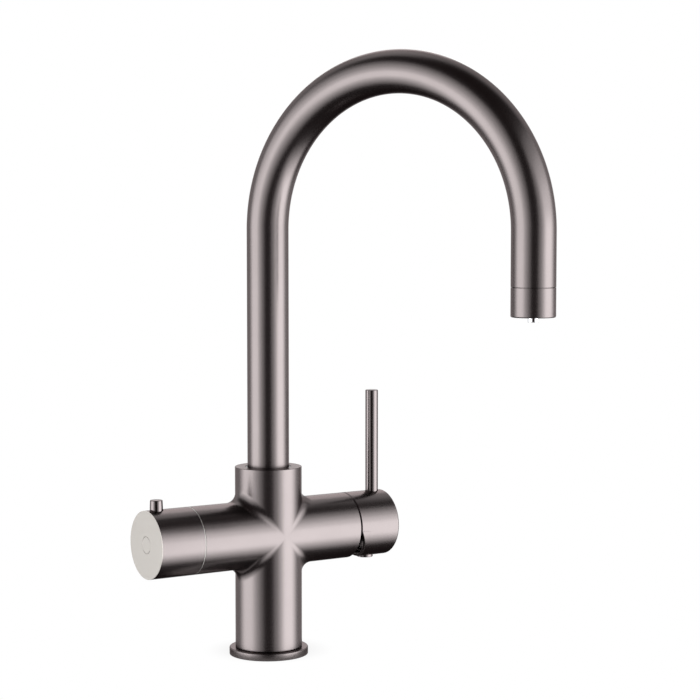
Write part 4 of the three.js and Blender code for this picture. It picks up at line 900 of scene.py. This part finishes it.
class TAP_OT_knob(bpy.types.Operator):
    """Makes the knob, its face plate, and the child-lock peg on its spring"""
    bl_idname = "tap.knob"
    bl_label = "Boiling-water knob"

    def execute(self, context):
        size = context.scene.tap_controls
        radius = context.scene.tap_body.radius
        axis_height = context.scene.tap_body.arm_height
        outwards = arm_place(-1, axis_height)
        peg_x = middle("lock_button", X)
        peg_place = upright(peg_x, axis_height)
        start = -high("knob_shell", X) - size.knob_joint
        barrel_start = start + size.washer
        shell_end = -low("knob_shell", X)
        cavity_radius = radius - size.knob_wall
        cavity_floor = shell_end - 2 * MM
        lip_start = size.knob_face - size.plate_lip
        barrel_end = lip_start - 0.08 * MM
        shoulder = radius - 1 * MM

        shell = turned("knob_barrel", [
            (0, cavity_floor), (cavity_radius, cavity_floor, 0.8 * MM), (cavity_radius, barrel_start),
            (radius, barrel_start, size.knob_edge), (radius, barrel_end), (shoulder, barrel_end),
            (shoulder, shell_end), (0, shell_end),
        ], outwards, BODY_SIDES)
        peg_hole_floor = radius - 5 * MM
        carved(shell, bar("peg_hole", size.peg_radius + LOOSE_FIT, peg_hole_floor, radius + OVERRUN,
                          peg_place))
        dressed(shell, "gunmetal", "boil_knob", "knob_shell")

        washer = turned("knob_joint_washer", [
            (cavity_radius, start), (radius, start, size.knob_edge),
            (radius, barrel_start, size.knob_edge), (cavity_radius, barrel_start),
        ], outwards, BODY_SIDES)
        dressed(washer, "steel_blasted", "boil_knob")

        # plate with a fine engraved ring in its middle
        line = 0.22 * MM
        face = size.knob_face
        back = face - size.plate_thickness
        recess = shoulder - 0.1 * MM
        plate = turned("knob_face_plate", [
            (0, back), (recess, back), (recess, lip_start), (radius, lip_start), (radius, face, 0.1 * MM),
            (size.index_radius + line, face), (size.index_radius, face - line),
            (size.index_radius - line, face), (0, face),
        ], outwards, BODY_SIDES)
        dressed(plate, "plate", "boil_knob", "knob_end_cap")

        pin = 2 * MM
        foot, top = low("lock_button", Z) - axis_height, high("lock_button", Z) - axis_height
        head_foot = high("lock_spring", Z) - axis_height + 0.05 * MM
        peg = turned("child_lock_peg", [
            (0, foot), (pin, foot), (pin, head_foot), (size.peg_radius, head_foot, 0.15 * MM),
            (size.peg_radius, radius + 2 * MM), (size.peg_radius - size.peg_taper, top, 0.55 * MM), (0, top),
        ], peg_place, PEG_SIDES)
        dressed(peg, "gunmetal_polished", "child_lock", "lock_button")

        spring_foot = low("lock_spring", Z)
        spring_height = high("lock_spring", Z) - spring_foot
        spring = grown("child_lock_spring", spring_tree(), {
            "Coil radius": width("lock_spring", Y) / 2 - size.spring_wire,
            "Wire radius": size.spring_wire, "Height": spring_height, "Turns": 3.0,
        })
        spring.data.transform(Matrix.Translation((peg_x, 0, spring_foot)))
        dressed(spring, "steel", "boil_knob", "lock_spring")
        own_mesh(spring)
        return {"FINISHED"}


# ------------------------------------------------------------------ pieces that stay as the frame has them

INNER_FINISHES = {
    "rubber": ("base_gasket", "hot_inlet_seal", "cold_inlet_seal", "boiling_inlet_seal", "spout_o_ring_1",
               "spout_o_ring_2", "boiling_tube_seal", "cartridge_base_seal", "valve_seat_seal",
               "spindle_o_ring"),
    "brass": ("inlet_manifold", "spout_foot", "cartridge_nut", "valve_body", "valve_nut", "boil_spindle"),
    "steel": ("spout_grub_screw", "boiling_tube", "stem_pin", "cartridge_stem", "hub_grub_screw",
              "lock_sleeve", "knob_screw", "lock_clip"),
    "ceramic": ("fixed_ceramic_disc", "moving_ceramic_disc", "boil_fixed_disc", "boil_moving_disc"),
    "white_plastic": ("cartridge_base", "cartridge_housing", "knob_glide_ring"),
    "black_plastic": ("disc_carrier", "knob_adaptor"),
}


class TAP_OT_inner_parts(bpy.types.Operator):
    """Gives the valves, seals and screws inside the tap their finishes"""
    bl_idname = "tap.inner_parts"
    bl_label = "Inner parts"

    def execute(self, context):
        for finish_name, names in INNER_FINISHES.items():
            for name in names:
                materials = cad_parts[name].data.materials
                materials.clear()
                materials.append(material_for(finish_name))
        bare = [name for name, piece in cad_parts.items()
                if not piece.hide_render and not any(name in names for names in INNER_FINISHES.values())]
        if bare:
            raise RuntimeError(f"these nodes have no finish: {', '.join(sorted(bare))}")
        return {"FINISHED"}


# ------------------------------------------------------------------ the studio

def softbox(name, azimuth, elevation, wide, tall, radiance):
    """A softbox aimed at the tap. Seen from the tap it stands at an azimuth (0 is +Y, 90 is +X) and an
    elevation and is so wide and so tall, all in degrees; a radiance of 1 is white."""
    distance = bpy.context.scene.tap_studio.lamp_distance
    tap_middle = Vector((0, 0, 0.2))
    turn_angle, lift = math.radians(azimuth), math.radians(elevation)
    away = Vector((math.sin(turn_angle) * math.cos(lift), math.cos(turn_angle) * math.cos(lift),
                   math.sin(lift)))
    lamp = bpy.data.lights.new(name, "AREA")
    lamp.shape = "RECTANGLE"
    lamp.size = 2 * distance * math.tan(math.radians(wide) / 2)
    lamp.size_y = 2 * distance * math.tan(math.radians(tall) / 2)
    lamp.energy = radiance * math.pi * lamp.size * lamp.size_y
    holder = placed(name, lamp)
    holder.location = tap_middle + away * distance
    holder.rotation_euler = away.to_track_quat("Z", "Y").to_euler()
    holder.visible_camera = False


# name, azimuth, elevation, width and height in degrees, radiance; nested, so that each side fades outwards
SOFTBOXES = (
    ("softbox_right_rim", 145, -5, 94, 102, 0.8),
    ("softbox_right_outer", 140, -7, 72, 82, 1.1),
    ("softbox_right_inner", 137.5, -9, 55, 62, 1.3),
    ("softbox_right_core", 138, -12, 38, 40, 1.5),
    ("softbox_left_rim", 278, -5, 96, 100, 0.6),
    ("softbox_left_outer", 282, -5, 78, 78, 0.75),
    ("softbox_left_inner", 286, -6, 60, 53, 1.0),
    ("softbox_left_core", 286.5, -7, 41, 28, 1.5),
    ("softbox_top_back", 33, 26, 24, 36, 1.7),
    ("softbox_top", 0, 64, 30, 26, 0.4),
)


class TAP_OT_studio(bpy.types.Operator):
    """Makes the floor, the lamps, the surroundings and the camera"""
    bl_idname = "tap.studio"
    bl_label = "Studio"

    def execute(self, context):
        scene = context.scene
        settings = scene.tap_studio
        behind = Vector((math.sin(settings.camera_heading), math.cos(settings.camera_heading), 0))
        thickness, gap = 4 * MM, 0.02 * MM
        place = Matrix.Translation(behind * settings.floor_shift - Vector((0, 0, gap)))
        floor = bar("floor", settings.floor_radius, -thickness, 0, place, TUBE_SIDES)
        floor.data.materials.append(studio_floor(settings, behind))

        world = bpy.data.worlds.new("studio")
        tree = empty_tree(world)
        # metal sees white well behind the tap, and the dark room before it and below
        direction = node(tree, "ShaderNodeTexCoord").outputs["Generated"]
        depth = node(tree, "ShaderNodeVectorMath", (direction, behind),
                     operation="DOT_PRODUCT").outputs["Value"]
        height = node(tree, "ShaderNodeSeparateXYZ", (direction,)).outputs["Z"]
        far = node(tree, "ShaderNodeMapRange", (depth, 0.1, 0.7, 0, 1), **SMOOTH)
        high_up = node(tree, "ShaderNodeMapRange", (height, -0.5, -0.2, 0, 1), **SMOOTH)
        seen = white_seen(tree, node(tree, "ShaderNodeMath", (far, high_up), operation="MULTIPLY"))
        room = node(tree, "ShaderNodeBackground", {"Color": linear("#342b2b"), "Strength": 1.0})
        white = node(tree, "ShaderNodeBackground", WHITE)
        mixed = node(tree, "ShaderNodeMixShader", (seen, room, white))
        node(tree, "ShaderNodeOutputWorld", {"Surface": mixed})
        scene.world = world

        for name, *place in SOFTBOXES:
            softbox(name, *place)

        camera = bpy.data.cameras.new("photo_camera")
        camera.lens = settings.lens
        camera.sensor_width = 36
        camera.clip_start = 0.05
        camera.clip_end = 20
        holder = placed("photo_camera", camera)
        holder.location = settings.camera_place
        holder.rotation_euler = (math.pi / 2 - settings.camera_pitch, 0, -settings.camera_heading)
        scene.camera = holder
        scene.view_settings.view_transform = "Standard"
        return {"FINISHED"}


# ------------------------------------------------------------------ panel, classes and the run

OPERATORS = (TAP_OT_body, TAP_OT_spout, TAP_OT_mixer, TAP_OT_knob, TAP_OT_inner_parts, TAP_OT_studio)
SETTINGS = {
    "tap_body": TapBodySizes,
    "tap_spout": TapSpoutSizes,
    "tap_controls": TapControlSizes,
    "tap_finishes": TapFinishes,
    "tap_studio": TapStudioSettings,
}


class TAP_PT_panel(bpy.types.Panel):
    """Lists the steps that build the tap"""
    bl_idname = "TAP_PT_panel"
    bl_label = "Boiling water tap"
    bl_space_type = "VIEW_3D"
    bl_region_type = "UI"
    bl_category = "Tap"

    def draw(self, context):
        for operator in OPERATORS:
            self.layout.operator(operator.bl_idname)
        for name, group in SETTINGS.items():
            box = self.layout.box()
            box.label(text=name.replace("_", " "))
            for label in group.__annotations__:
                box.prop(getattr(context.scene, name), label)


def register():
    for group in (*SETTINGS.values(), *OPERATORS, TAP_PT_panel):
        bpy.utils.register_class(group)
    for name, group in SETTINGS.items():
        setattr(bpy.types.Scene, name, PointerProperty(type=group))


def unregister():
    for name in SETTINGS:
        delattr(bpy.types.Scene, name)
    for group in reversed((*SETTINGS.values(), *OPERATORS, TAP_PT_panel)):
        bpy.utils.unregister_class(group)


def main():
    register()
    bpy.ops.tap.body()
    bpy.ops.tap.spout()
    bpy.ops.tap.mixer()
    bpy.ops.tap.knob()
    bpy.ops.tap.inner_parts()
    bpy.ops.tap.studio()


if __name__ == "__main__":
    main()
